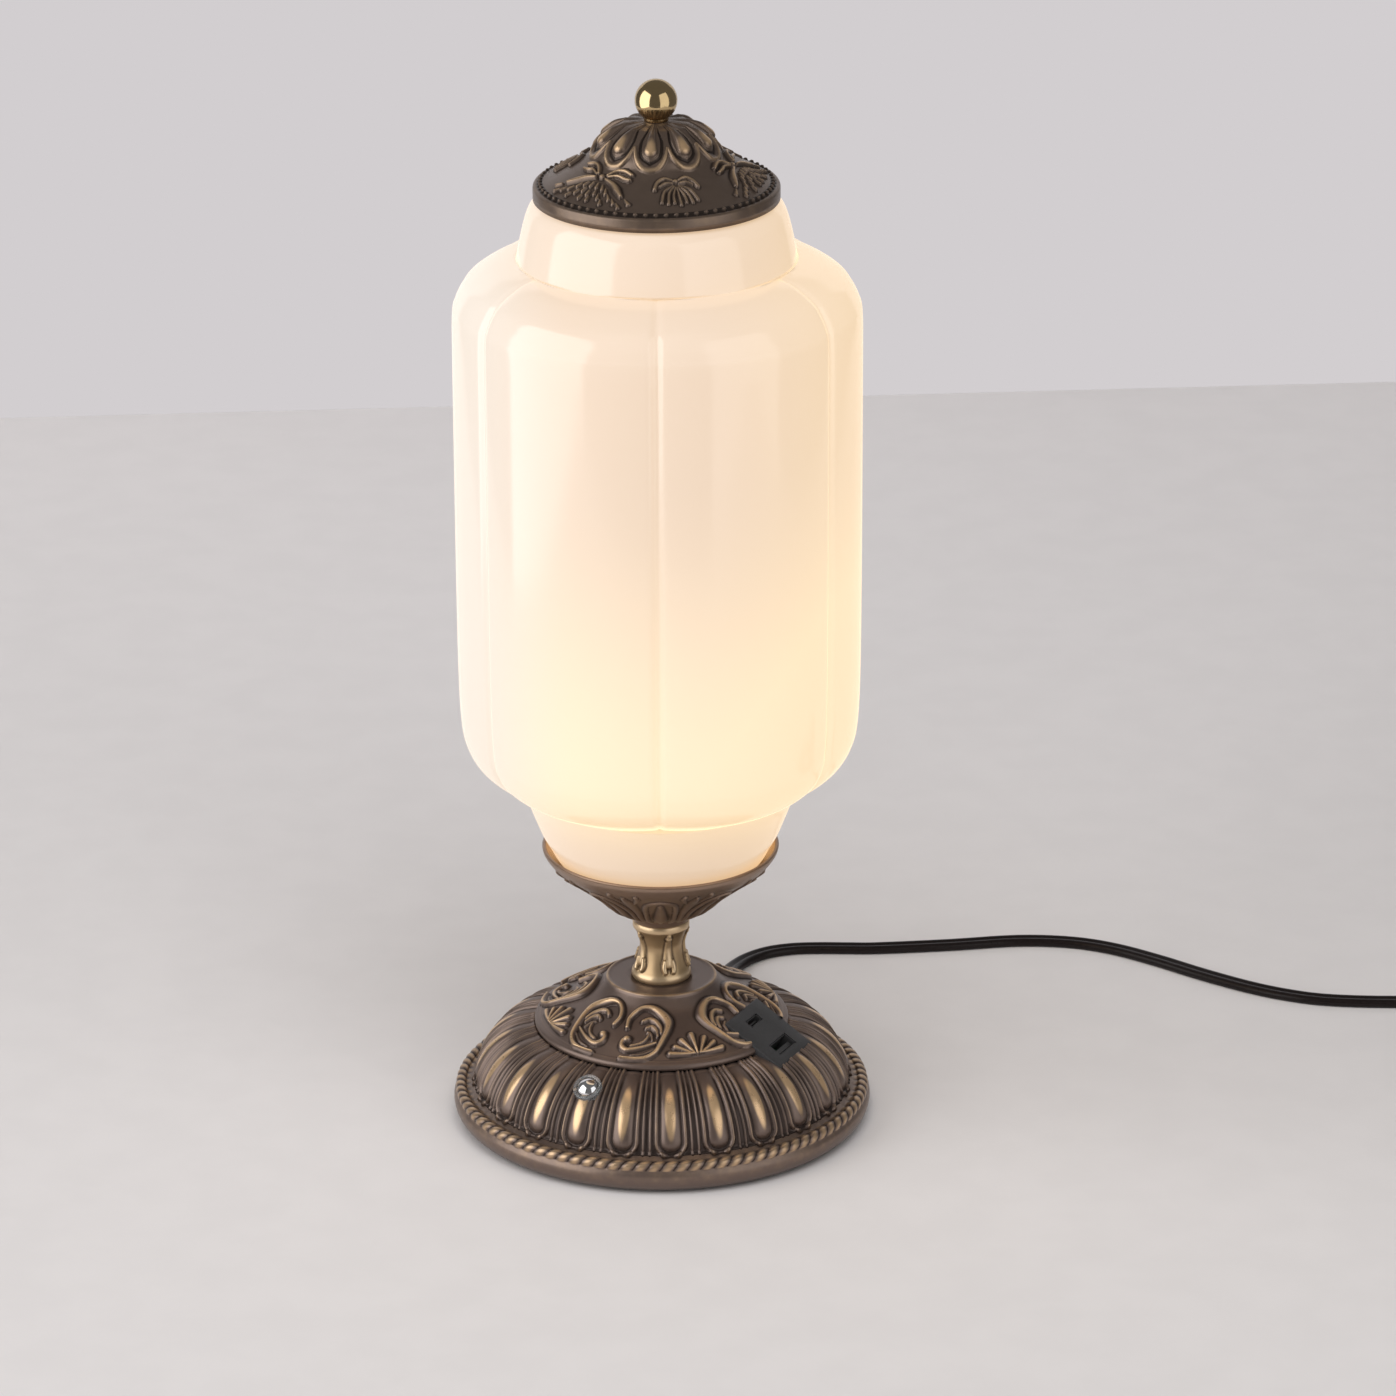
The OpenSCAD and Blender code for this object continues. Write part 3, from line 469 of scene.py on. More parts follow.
@dataclass(frozen=True)
class Plain:
    """One colour, broken up a little, with a fine grain."""

    colour: Colour
    roughness: float = 0.5
    metallic: float = 0.0
    mottle: float = 0.15
    grain: float = 0.02
    scale: float = 900.0
    shine: float = 0.5
    uneven: float = 0.12

    def material(self, name: str) -> bpy.types.Material:
        """Makes the material."""
        graph = Graph(name)
        noise = graph.noise(self.scale)
        dark = tuple(c * (1 - self.mottle) for c in self.colour)
        light = tuple(min(1.0, c * (1 + self.mottle)) for c in self.colour)
        graph.set(
            Base_Color=graph.mix(noise.step(0.3, 0.7), dark, light),
            Roughness=noise * self.uneven + (self.roughness - self.uneven / 2),
            Metallic=self.metallic,
            Specular_IOR_Level=self.shine,
            Normal=graph.bump(noise, self.grain * MM),
        )
        return graph.material


@dataclass(frozen=True)
class Antique:
    """Cast metal with dark hollows and bright, rubbed crests, led by the rub on each vertex; on the cup's
    inside the rub carries painted light.

    Attributes:
        patches: How far cloudy patches shift the wear.
        ground_at: Wear from which the dark of the hollows gives way to the body colour.
        crest_at: Wear from which the body colour gives way to the bright one.
    """

    dark: Colour
    body: Colour
    bright: Colour
    roughness: float = 0.36
    polish: float = 0.28
    metallic: float = 0.7
    patches: float = 0.35
    uneven: float = 0.1
    ground_at: Point = (-0.75, 0.1)
    crest_at: Point = (0.1, 0.95)
    cloud_scale: float = 260.0
    grain_scale: float = 1800.0
    grain: float = 0.02

    def material(self, name: str) -> bpy.types.Material:
        """Makes the material."""
        graph = Graph(name)
        rub = graph.add("ShaderNodeAttribute", {"attribute_name": "rub"}, out="Fac")
        cloud = graph.noise(self.cloud_scale, 4.0)
        wear = rub + (cloud - 0.5) * self.patches
        crest = wear.step(*self.crest_at)
        ground = graph.mix(wear.step(*self.ground_at), self.dark, self.body)
        plain = self.roughness - self.uneven / 2
        graph.set(
            Base_Color=graph.mix(crest, ground, self.bright),
            Roughness=crest * (self.polish - self.roughness) + cloud * self.uneven + plain,
            Metallic=self.metallic,
            Normal=graph.bump(graph.noise(self.grain_scale), self.grain * MM),
        )
        return graph.material


@dataclass(frozen=True)
class Opal:
    """Milky glass lit from inside, brightest at the bulb, with painted window light whiter on its left and a
    painted warmer glow on its right.

    Attributes:
        far: Glow away from the bulb.
        near: Glow at the bulb.
        pale: Painted window light at the left edge, given as emission.
        bulb: Height of the brightest part in mm.
        spread: mm above it over which the glow fades.
        under: Share of the spread over which it fades below.
        lean: How much of the near colour is painted onto the right side at any height, as a warmer glow
            there.
        warm_side: Metres right of the middle at which that sets in and is full.
        pale_side: Metres right of the middle at which the painted window light gives way and is gone.
    """

    colour: Colour
    far: Colour
    near: Colour
    pale: Colour
    bulb: float
    spread: float
    under: float = 0.3
    lean: float = 0.6
    warm_side: Point = (0.01, 0.08)
    pale_side: Point = (-0.072, -0.028)

    def material(self, name: str) -> bpy.types.Material:
        """Makes the material."""
        graph = Graph(name)
        height = graph.add("ShaderNodeSeparateXYZ", {}, graph.place(), out="Z")
        across = graph.add("ShaderNodeSeparateXYZ", {}, graph.place(), out="X")
        below = height.step((self.bulb - self.spread * self.under) * MM, self.bulb * MM)
        above = 1.0 - height.step(self.bulb * MM, (self.bulb + self.spread) * MM)
        # Glow of the bulb by height, plus a painted warmer glow on the right side
        glow = graph.mix(below * above + across.step(*self.warm_side) * self.lean, self.far, self.near)
        graph.set(
            Base_Color=self.colour,
            Roughness=0.13,
            Specular_IOR_Level=0.55,
            # The left edge shows painted window light in place of the glow
            Emission_Color=graph.mix(across.step(*self.pale_side), self.pale, glow),
            Emission_Strength=1.0,
            Normal=graph.bump(graph.noise(60.0, 1.0), 0.05 * MM),
        )
        return graph.material


@dataclass(frozen=True)
class Clear:
    """Clear or frosted, see-through stuff."""

    colour: Colour
    roughness: float
    glow: float = 0.0

    def material(self, name: str) -> bpy.types.Material:
        """Makes the material."""
        graph = Graph(name)
        graph.set(
            Base_Color=self.colour,
            Roughness=self.roughness,
            Transmission_Weight=0.9,
            IOR=1.45,
            Emission_Color=(1.0, 0.8, 0.5),
            Emission_Strength=self.glow,
        )
        return graph.material


FINISHES = {
    "felt": Plain((0.012, 0.012, 0.013), 0.95, mottle=0.5, grain=0.3, scale=1500),
    "steel": Plain((0.55, 0.55, 0.56), 0.35, 1.0),
    "iron": Plain((0.09, 0.085, 0.08), 0.7, 0.6, grain=0.15),
    "bronze": Antique((0.046, 0.032, 0.027), (0.165, 0.120, 0.100), (0.66, 0.45, 0.26)),
    "bronze_cup": Antique((0.080, 0.056, 0.043), (0.300, 0.208, 0.152), (0.78, 0.61, 0.43)),
    "bronze_cap": Antique((0.042, 0.030, 0.024), (0.150, 0.108, 0.083), (0.62, 0.42, 0.24)),
    "antique_brass": Antique(
        (0.12, 0.08, 0.046), (0.44, 0.305, 0.168), (0.71, 0.53, 0.33), 0.34, metallic=0.75, patches=0.12
    ),
    "polished_brass": Plain((0.56, 0.41, 0.215), 0.1, 1.0, mottle=0.03, grain=0.0),
    "brass": Plain((0.55, 0.4, 0.18), 0.32, 1.0),
    "plated_brass": Plain((0.72, 0.7, 0.66), 0.25, 1.0, mottle=0.04),
    "frosted_glass": Clear((0.95, 0.93, 0.9), 0.45, 0.6),
    "filament": Plain((0.9, 0.6, 0.25), 0.4, mottle=0.05),
    "aluminium": Plain((0.72, 0.72, 0.73), 0.3, 1.0, mottle=0.04),
    "chrome": Plain((0.75, 0.75, 0.76), 0.07, 1.0, mottle=0.02, grain=0.0),
    "clear_plastic": Clear((0.9, 0.92, 0.93), 0.05),
    "charcoal_plastic": Plain((0.036, 0.035, 0.036), 0.42, mottle=0.1, grain=0.01, shine=0.35),
    "black_plastic": Plain((0.008, 0.007, 0.007), 0.4, shine=0.3),
    "white_plastic": Plain((0.75, 0.74, 0.71), 0.45, mottle=0.04),
    "circuit_board": Plain((0.02, 0.09, 0.04), 0.4, mottle=0.3),
    "tape": Plain((0.6, 0.42, 0.05), 0.4),
    "capacitor_sleeve": Plain((0.015, 0.02, 0.05), 0.35),
    "wire": Plain((0.02, 0.02, 0.022), 0.4),
    "silicone": Plain((0.6, 0.58, 0.54), 0.6),
    "card": Plain((0.05, 0.045, 0.04), 0.85),
    "cord_black": Plain((0.010, 0.0065, 0.006), 0.3, mottle=0.2, grain=0.02, shine=0.2),
    "tie_black": Plain((0.02, 0.02, 0.021), 0.3),
}


class Workshop:
    """Keeps the made finishes and turns meshes into pieces of the lamp."""

    def __init__(self) -> None:
        """Makes every finish of the record; the opal glass depends on where the bulb is."""
        bulb = (bottom("bulb_globe") + top("bulb_globe")) / 2
        opal = Opal(
            colour=(0.32, 0.32, 0.33),
            far=(0.58, 0.395, 0.225),
            near=(0.80, 0.575, 0.305),
            # pale is painted window light on the glass's left edge
            pale=(0.6, 0.49, 0.37),
            bulb=bulb - 20,
            spread=130.0,
        )
        finishes = {**FINISHES, "opal_glass": opal}
        self.materials = {slot: finish.material(slot) for slot, finish in finishes.items()}

    def dress(self, obj: bpy.types.Object, slot: str) -> None:
        """Gives a piece the finish of one of the record's slots."""
        obj.data.materials.clear()
        obj.data.materials.append(self.materials[slot])

    def piece(
        self,
        name: str,
        form: bmesh.types.BMesh | bpy.types.Mesh,
        body: str,
        slot: str,
        *nodes: str,
        crease: float = CREASE,
    ) -> bpy.types.Object:
        """Puts a shown piece into the scene.

        Args:
            name: The piece's name.
            form: Its mesh, in place, in metres.
            body: The CAD body that it rides on.
            slot: The record's material slot.
            nodes: The CAD nodes that it stands for.
            crease: Edges sharper than this, in degrees, stay sharp.

        Returns:
            The new object.
        """
        mesh = settle(name, form) if isinstance(form, bmesh.types.BMesh) else form
        mesh.shade_smooth()
        mesh.set_sharp_from_angle(angle=math.radians(crease))
        obj = show(name, mesh)
        self.dress(obj, slot)
        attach(obj, body)
        if nodes:
            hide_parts(*nodes)
        LOG.info("%s: %d faces", name, len(mesh.polygons))
        return obj

    def turned(
        self,
        name: str,
        turning: Turning,
        body: str,
        slot: str,
        *nodes: str,
        carving: Carving | None = None,
        place: Matrix | None = None,
    ) -> bpy.types.Object:
        """Puts a turned piece into the scene, carved or moved to a seat of its own.

        Args:
            name: The piece's name.
            turning: Its section.
            body: The CAD body that it rides on.
            slot: The record's material slot.
            nodes: The CAD nodes that it stands for.
            carving: The ornament on its shown side.
            place: Where its axis stands, if that isn't the lamp's.

        Returns:
            The new object.
        """
        crease = CARVED_CREASE if carving else CREASE
        obj = self.piece(name, turning.form(), body, slot, *nodes, crease=crease)
        if carving:
            carve(obj.data, carving)
        if place:
            obj.data.transform(place)
        return obj

    def dress_nodes(self) -> None:
        """Gives each CAD node that still shows the finish of its slot."""
        for part in frame["record"]["subparts"]:
            node = frame["nodes"][part["node"]]
            if not node.hide_render:
                self.dress(node, part["material_slot"])
                node.data.shade_smooth()
                node.data.set_sharp_from_angle(angle=math.radians(CAD_CREASE))


@dataclass
class Studio:
    """The photographed view: camera, table, backdrop, two windows and a light above."""

    lens: float = 167.6
    camera_at: Point = (14.45, -2283.8, 1057.9)
    pitch: float = 21.25
    roll: float = -0.22
    floor_colour: Colour = (0.735, 0.705, 0.70)
    wall_colour: Colour = (0.63, 0.622, 0.637)
    backdrop: Colour = (0.645, 0.617, 0.631)
    sky: Colour = (0.16, 0.158, 0.157)
    wall_left: Point = (-0.35, 0.83)
    wall_right: Point = (0.37, 0.88)
    half_wide: float = 0.75
    half_deep: float = 0.8
    half_high: float = 0.45
    aim: Point = (0, 0, 0.25)

    def build(self) -> None:
        """Makes the camera, the stage and the lights."""
        self.camera()
        self.stage()
        self.lights()

    def camera(self) -> None:
        """The photograph's camera, fitted to the lamp's circles."""
        data = bpy.data.cameras.new("camera")
        data.lens = self.lens
        data.clip_end = 30
        obj = show("camera", data)
        tilt = Matrix.Rotation(math.radians(90 - self.pitch), 4, "X")
        turn = tilt @ Matrix.Rotation(math.radians(self.roll), 4, "Z")
        obj.matrix_world = Matrix.Translation(Vector(self.camera_at) * MM) @ turn
        bpy.context.scene.camera = obj

    def stage(self) -> None:
        """A pale table and the wall behind it, which lights the lamp while the camera sees the backdrop."""
        (x0, y0), (x1, y1) = self.wall_left, self.wall_right
        slope = (y1 - y0) / (x1 - x0)
        turn = Matrix.Rotation(math.atan(slope), 4, "Z")
        foot = Matrix.Translation((0, y0 - slope * x0, 0)) @ turn
        lie = Matrix.Diagonal((self.half_wide, self.half_deep, 1, 1))
        flat = Matrix.Translation((0, -self.half_deep, 0)) @ lie
        stand = Matrix.Diagonal((self.half_wide, self.half_high, 1, 1))
        upright = Matrix.Translation((0, 0, self.half_high)) @ (Matrix.Rotation(math.pi / 2, 4, "X") @ stand)
        self.sheet("floor", foot @ flat, self.floor_colour)
        self.sheet("wall", foot @ upright, self.wall_colour).visible_camera = False

    def sheet(self, name: str, place: Matrix, colour: Colour) -> bpy.types.Object:
        """A matt rectangle of one colour that isn't part of the lamp."""
        bm = bmesh.new()
        bmesh.ops.create_grid(bm, x_segments=1, y_segments=1, size=1, matrix=place)
        obj = show(name, settle(name, bm))
        paint = Plain(colour, 0.8, mottle=0.012, grain=0.0, scale=40, shine=0.2)
        obj.data.materials.append(paint.material(name))
        return obj

    def lights(self) -> None:
        """A dim room that the camera sees as a pale backdrop, two tall windows and a light above."""
        world = bpy.data.worlds.new("sky")
        bpy.context.scene.world = world
        world.use_nodes = True
        tree = world.node_tree
        seen = tree.nodes.new("ShaderNodeLightPath").outputs["Is Camera Ray"]
        mix = tree.nodes.new("ShaderNodeMix")
        mix.data_type = "RGBA"
        factor, room, view = (mix.inputs[index] for index in MIX_INPUTS)
        room.default_value = (*self.sky, 1.0)
        view.default_value = (*self.backdrop, 1.0)
        tree.links.new(seen, factor)
        tree.links.new(mix.outputs[MIX_RESULT], tree.nodes["Background"].inputs["Color"])
        self.soft_box("left_window", (-1.85, -0.8, 0.4), (2.4, 3.6), 66)
        self.soft_box("right_window", (1.5, -1.35, 0.4), (1.9, 3.6), 22)
        self.soft_box("ceiling", (0.1, -1.5, 2.6), (2.0, 2.0), 42).visible_glossy = False
        bpy.context.scene.view_settings.view_transform = "Standard"

    def soft_box(self, name: str, at: Point, size: Point, power: float) -> bpy.types.Object:
        """A rectangular light that faces the lamp."""
        data = bpy.data.lights.new(name, "AREA")
        data.shape = "RECTANGLE"
        data.size, data.size_y = size
        data.energy = power
        obj = show(name, data)
        obj.location = at
        obj.rotation_euler = (Vector(self.aim) - Vector(at)).to_track_quat("-Z", "Y").to_euler()
        return obj


@dataclass
class Cord:
    """The flat two-core cord: its boot, its run along the table, its tied coil and its plug, in mm."""

    wide: float = 6.9
    thick: float = 3.5
    azimuth: float = 168.0
    up: float = 8.5
    boot: float = 20.0
    face: float = reach("base_shell") + 2
    coil_r: float = 51.5
    coil_step: float = 9.0
    climb: float = 4.3
    inward: float = 2.25
    coil_at: Point = (358.0, 43.5, 2.75)
    rings: int = 36

    def route(self) -> list[Point]:
        """The listed points from the boot to the coil."""
        lie = self.thick / 2
        x, y, z = self.coil_at
        side = y + self.coil_r
        return [
            polar(self.azimuth, self.face + self.boot + self.wide / 2, self.up),
            (24.2, 113, 6.4), (26, 122, 3.4), (29, 131, lie + 0.3), (34.5, 139.5, lie), (42.5, 146, lie),
            (52.5, 149.5, lie), (63.5, 150.3, lie), (75, 150, lie), (88, 150, lie), (117, 153, lie),
            (145, 157, lie), (167, 155, lie), (184, 148, lie), (201, 136, lie), (218, 122, lie),
            (236, 109, lie), (251, 101, lie), (267, 96, lie), (293, 94, lie),
            (320, side, lie + 0.3), (344, side, z), (x - self.wide, side, z), (x, side, z),
        ]  # fmt: skip

    def turn(self, t: float) -> Point:
        """The coil's point after t turns: in, up a layer in half a turn, and out again."""
        out = min(max((t - self.inward - 0.5) / self.inward, 0), 1)
        r = self.coil_r - self.coil_step * self.inward * (min(t / self.inward, 1) - out)
        lift = self.climb * (0.5 - 0.5 * math.cos(math.pi * min(max((t - self.inward) * 2, 0), 1)))
        x, y, z = self.coil_at
        return (x + r * math.sin(2 * math.pi * t), y + r * math.cos(2 * math.pi * t), z + lift)

    def line(self) -> list[Point]:
        """The whole cord's middle line, from the boot to the plug."""
        turns = 2 * self.inward + 0.5
        coil = [self.turn(k / self.rings) for k in range(1, round(turns * self.rings) + 1)]
        plug = measure("plug_body", Side.LOW, Axis.X)
        start = polar(self.azimuth, self.face + self.boot, self.up)
        return [start, *smooth(self.route(), 5), *coil, (plug, *coil[-1][1:])]

    def section(self) -> bpy.types.Object:
        """The cord's outline: two round cores side by side with a web between."""
        r = self.thick / 2
        core = self.wide / 2 - r
        right = arc(core, 0, r, -140, 140, 10)
        outline = [*right, *[(-x, -z) for x, z in right]]
        curve = poly("cord_section", [(x, z, 0) for x, z in outline])
        curve.splines[0].use_cyclic_u = True
        return show("cord_section", curve)

    def tube(self, line: Sequence[Point]) -> bpy.types.Mesh:
        """The section drawn along the line, flat side up."""
        curve = poly("cord_line", line)
        curve.twist_mode = "Z_UP"
        curve.use_fill_caps = True
        curve.bevel_mode = "OBJECT"
        curve.bevel_object = self.section()
        obj = show("cord_line", curve)
        mesh = bpy.data.meshes.new_from_object(obj.evaluated_get(bpy.context.evaluated_depsgraph_get()))
        for part in (obj, curve.bevel_object):
            bpy.data.objects.remove(part)
        mesh.name = "cord"
        return mesh

    def build(self, shop: Workshop) -> None:
        """Makes the cord as one tube and the boot that it comes out of."""
        line = self.line()
        cord = shop.piece("cord", self.tube(line), "base", "cord_black", "cord_run", "cord_coil", crease=60)
        metres = [tuple(c * MM for c in spot) for spot in line]
        self.wide * MM  # fmt: skip
        self.build_boot(shop)

    def build_boot(self, shop: Workshop) -> None:
        """The strain relief: a collar against the base and a tapered boot with rings cut into it."""
        collar, tip, rings = 5.0, self.wide / 2 + 0.7, 6
        pitch = self.boot / rings
        side = [(collar, 0.2), (collar, 1.6), (collar - 0.4, 2.0)]
        for k in range(rings):
            r = collar - 0.4 + (tip - collar + 0.4) * k / (rings - 1)
            start = 2 + k * pitch
            cut = [(r - 0.5, start + 0.2), (r - 0.5, start + 0.9)]
            side += [*cut, (r, start + 1.1), (r, start + pitch - 0.1)]
        place = seat(self.azimuth, self.face - 2, self.up, 90)
        section = Turning([(0, 0.2), *side, (0, 2 + self.boot)], steps=48)
        shop.turned("cord_boot", section, "base", "black_plastic", "cord_gland", place=place)


@dataclass
class Base:
    """The cast base: a plain rim with a rope ring, tongues in frames, and a band of scrolls and shells.

    Attributes:
        strand_turn: Degrees round the rope's section for one strand.
        first: Azimuth of the tongue that carries the switch.
        frame_share: Half width of a frame, as a share of the tongues' pitch.
        rib_share: Place of a rib beside a frame, as a share of the pitch.
        bow_up: mm up the flute at which a frame's legs meet its bow.
        bow_out: Radius of the base there.
        inset: Degrees between a tongue and the line of its frame.
        toe_r: Radius of a tongue's round toe in mm.
        spindle: Half width, middle and half length of a tongue's bright spindle in mm.
        scrolls: How often the band's ornament repeats.
        fitting_reach: mm round a fitting's seat in which the casting is opened.
        fitting_deep: mm above and below its face in which the casting is opened.
    """

    wide: float = reach("base_shell")
    high: float = top("base_shell")
    foot: float = bottom("base_shell")
    lip: float = 48.0
    plateau: float = 20.7
    rope_r: float = 2.1
    rope_up: float = 11.3
    strands: int = 96
    strand_turn: float = 230.0
    strand_rise: float = 0.6
    flute_r: float = 25.8
    tongues: int = 24
    first: float = -27.0
    frame_share: float = 0.3
    frame_wide: float = 0.85
    frame_rise: float = 1.15
    rib_share: float = 0.43
    rib_wide: float = 0.52
    rib_rise: float = 0.95
    bow_up: float = 7.4
    bow_out: float = 70.8
    tongue_rise: float = 1.35
    inset: float = 1.25
    toe_r: float = 3.9
    spindle: Point = (2.3, 18.2, 11.5)
    scrolls: int = 4
    wall: float = 2.4
    fitting_reach: float = 25.0
    fitting_deep: float = 12.0

    def build(self, shop: Workshop) -> None:
        """Makes the three zones of the casting and lets the socket and the switch in."""
        zones = [
            shop.turned(name, turning, "base", "bronze", "base_shell", carving=carving)
            for name, turning, carving in (
                ("base_rim", self.rim(), self.carve_rope),
                ("base_flutes", self.flutes(), self.carve_flutes),
                ("base_band", self.band(), self.carve_band),
            )
        ]
        socket, switch = ChargingSocket(), Switch()
        for zone in zones[1:]:
            self.let_in(zone.data, socket.place(), socket.covers)
        self.let_in(zones[1].data, switch.place(), switch.covers)

    def let_in(self, mesh: bpy.types.Mesh, place: Matrix, covered: Callable[[Vector], bool]) -> None:
        """Takes the faces away that a fitting in the base covers.

        Args:
            mesh: One zone of the casting.
            place: The fitting's seat.
            covered: Tells if a point in the seat's frame, in mm, lies under the fitting.
        """
        back = place.inverted()
        bm = bmesh.new()
        bm.from_mesh(mesh)
        near = [v for v in bm.verts if (v.co - place.translation).length < self.fitting_reach * MM]
        spots = {v: back @ v.co / MM for v in near}
        inside = {v for v, spot in spots.items() if covered(spot) and abs(spot.z) < self.fitting_deep}
        faces = [f for f in {f for v in inside for f in v.link_faces} if all(v in inside for v in f.verts)]
        bmesh.ops.delete(bm, geom=faces, context="FACES")
        bm.to_mesh(mesh)
        bm.free()

    @property
    def rope_x(self) -> float:
        """Radius of the rope ring's centre line."""
        return self.wide - 2.8

    @property
    def flute_x(self) -> float:
        """Radius of the centre of the flute zone's round section."""
        return self.wide - 8.5 - self.flute_r

    def rim(self) -> Turning:
        """From the foot over the rope ring to the groove behind it."""
        r, foot = self.wide, self.foot
        under = [(r - 6.5, foot), (r - 3.3, foot + 0.7), (r - 1, foot + 2.8)]
        side = [(r, foot + 5.2), (r, foot + 7.4), (r - 0.9, 10)]
        rope = arc(self.rope_x, self.rope_up, self.rope_r, -25, 155, 18)
        shown = [*smooth([*under, *side], 3), *rope, (r - 6.4, 12.2), (r - 7.6, 13.4)]
        return Turning(shown, [(r - 10, 13.4), (r - 10, foot)], self.strands * 10)

    def carve_rope(self, at: Surface) -> Relief:
        """Slanting strands on the rope ring."""
        angle = np.degrees(np.arctan2(at.height - self.rope_up, at.radius - self.rope_x))
        on_rope = np.abs(np.hypot(at.height - self.rope_up, at.radius - self.rope_x) - self.rope_r) < 0.05
        turns = at.azimuth * self.strands / 360 - angle / self.strand_turn
        strand = np.abs(np.sin(math.pi * turns)) ** 0.6
        worn_strand = np.interp(strand, (0.2, 0.55, 1.0), (-1.0, 0.1, 0.6))
        # The rim's side below the rope is lighter towards the top and darker towards the foot
        side_lighter_upwards = fade(at.height, 1, 8) * 0.22
        rise = np.where(on_rope, self.strand_rise * (strand - 0.8), 0)
        return rise, np.where(on_rope, worn_strand, side_lighter_upwards)

    def flutes(self) -> Turning:
        """From the groove to the lip."""
        start = (self.wide - 7.6, 13.4)
        end = (self.lip + 0.6, self.high - 19.4)
        shown = refine([start, *arc(self.flute_x, self.rope_up - 0.5, self.flute_r, 8, 80, 48), end], 0.75)
        inner = arc(self.flute_x, self.rope_up - 0.5, self.flute_r - self.wall, 80, 8, 6)
        return Turning(shown, inner, self.tongues * 50)

    def carve_flutes(self, at: Surface) -> Relief:
        """Tongues with bright spindles in U-shaped frames, and two thin ribs between frames."""
        pitch = 360 / self.tongues
        offset = np.abs(fold(at.azimuth, self.first, pitch))
        across = np.radians(offset) * at.radius
        along = self.flute_r * np.arctan2(at.height - self.rope_up + 0.5, at.radius - self.flute_x)
        turn, half = self.bow_up, pitch * self.frame_share
        legs = np.abs(np.radians(offset - half) * at.radius)
        bow = np.abs(np.hypot(across, along - turn) - math.radians(half) * self.bow_out)
        frame_gap = np.where(along > turn, legs, bow) / self.frame_wide
        rib_gap = np.abs(np.radians(offset - pitch * self.rib_share) * at.radius) / self.rib_wide
        straight = across / (np.radians(half - self.inset) * at.radius)
        inside = np.where(along > turn, straight, np.hypot(across, along - turn) / self.toe_r)
        swell = rounded(inside, 0.7) * (0.35 + 0.65 * fade(along, 37, 16))
        wide, middle, long = self.spindle
        lens = 1 - (across / wide) ** 2 - ((along - middle) / long) ** 2
        low = fade(along, 1.5, 4.0)
        frame_rise, rib_rise = self.frame_rise * rounded(frame_gap), self.rib_rise * rounded(rib_gap) * low
        rise = np.maximum.reduce([frame_rise, rib_rise, self.tongue_rise * swell])
        ground = (fade(rise, 0.05, 0.55) - 1) * (0.75 - 0.5 * fade(along, 28, 34))
        crests = [0.4 - 0.5 * frame_gap, 0.36 * low - 0.5 * rib_gap, 0.9 * fade(lens, -0.25, 0.75)]
        return rise, worn(ground, np.maximum.reduce(crests))

    def band(self) -> Turning:
        """From the lip's roll up the scroll band and over the flat top."""
        lip, high, flat = self.lip, self.high, self.plateau
        roll = arc(lip - 0.9, high - 17.8, 1.7, -40, 75, 7)
        field_of_scrolls = [(lip - 1.4, high - 16), (lip - 8, high - 12.1), (lip - 16, high - 8.3)]
        edge = [(flat + 5.3, high - 5.1), (flat + 1.9, high - 2.1), (flat, high)]
        slope = smooth([*field_of_scrolls, *edge], 4)
        level = [(r, high) for r in (flat - 0.4, flat - 0.8, flat - 1.2, flat - 2, 14, 9)]
        under = [(9.0, high - 4), (flat - 1, high - 4), (flat + 5, high - 9)]
        shown = [*roll, *refine(slope, 0.42), *level]
        return Turning(shown, [*under, (lip - 6, high - 17), (lip - 3, high - 20)], 960)

    def carve_band(self, at: Surface) -> Relief:
        """Pairs of C-scrolls at the switch, the socket and opposite them, with shells between."""
        turning = self.band()
        on = turning.by_radius
        upper = [(4.8, 33.6), (3.6, 30), (5.8, 26.9), (10, 24.9), (15.5, 24.3)]
        bend = [(21.5, 24.7), (27, 26.3), (30.8, 28.6), (32, 31), (30.6, 34.2), (28.2, 37.6)]
        lower = [(26.2, 40.6), (24, 43.2), (20, 45.3), (15, 46.2), (7.5, 46.4)]
        curl = [(24, 39.4), (18.5, 41), (13.5, 42.2), (9, 42.8), (5.8, 41.4), (5.6, 39.2)]
        plume = [(14.3, 29.8), (18, 28.7), (22.8, 29.5), (26.5, 32.2), (27, 35)]
        scroll = [
            Stroke(on([*upper, *bend, *lower]), (1.0, 1.3, 1.4, 1.7, 2.0, 1.7, 1.4, 1.4, 1.2), 1.9, 1.0),
            Stroke(on(curl), (0.8, 1.1, 1.3, 1.4, 1.1), 1.5, 0.9),
            Stroke(on([(7.3, 38.5), (7.6, 38.6)]), (1.8, 1.8), 1.9, 1.0),
            Stroke(on([(11, 41), (15.5, 39.8), (18.5, 37.6), (19.5, 35.6)]), (1.0, 0.9, 0.6), 1.1, 0.7),
            Stroke(on(plume), (1.2, 1.2, 1.1, 0.6), 1.3, 0.8),
            Stroke(on([(17.8, 32.6), (21, 31.9), (24, 33.7), (25, 36.4)]), (1.1, 1.1, 0.6), 1.2, 0.7),
            Stroke(on([(18.5, 34.4), (21, 35.6), (22, 38.2)]), (0.6, 0.7, 0.45), 0.9, 0.5),
            Stroke(on([(23.5, 41.6), (18, 43.8), (12, 44.6)]), (0.5, 0.7, 0.5), 0.8, 0.4),
        ]
        tips = ((0, 36.4), (6.6, 38.6), (10.4, 41.2), (13.4, 43.8))
        shell = [Stroke(on([(a * 0.2, 44.4), (a, r)]), (0.6, 1.5), 1.6, 0.9) for a, r in tips]
        rise, rub = raised(scroll, turning, at, self.first, self.scrolls)
        fan_rise, fan_rub = raised(shell, turning, at, self.first + 180 / self.scrolls, self.scrolls)
        crest, lip = (place for _, place in on([(0, self.plateau), (0, self.lip - 1.6)]))
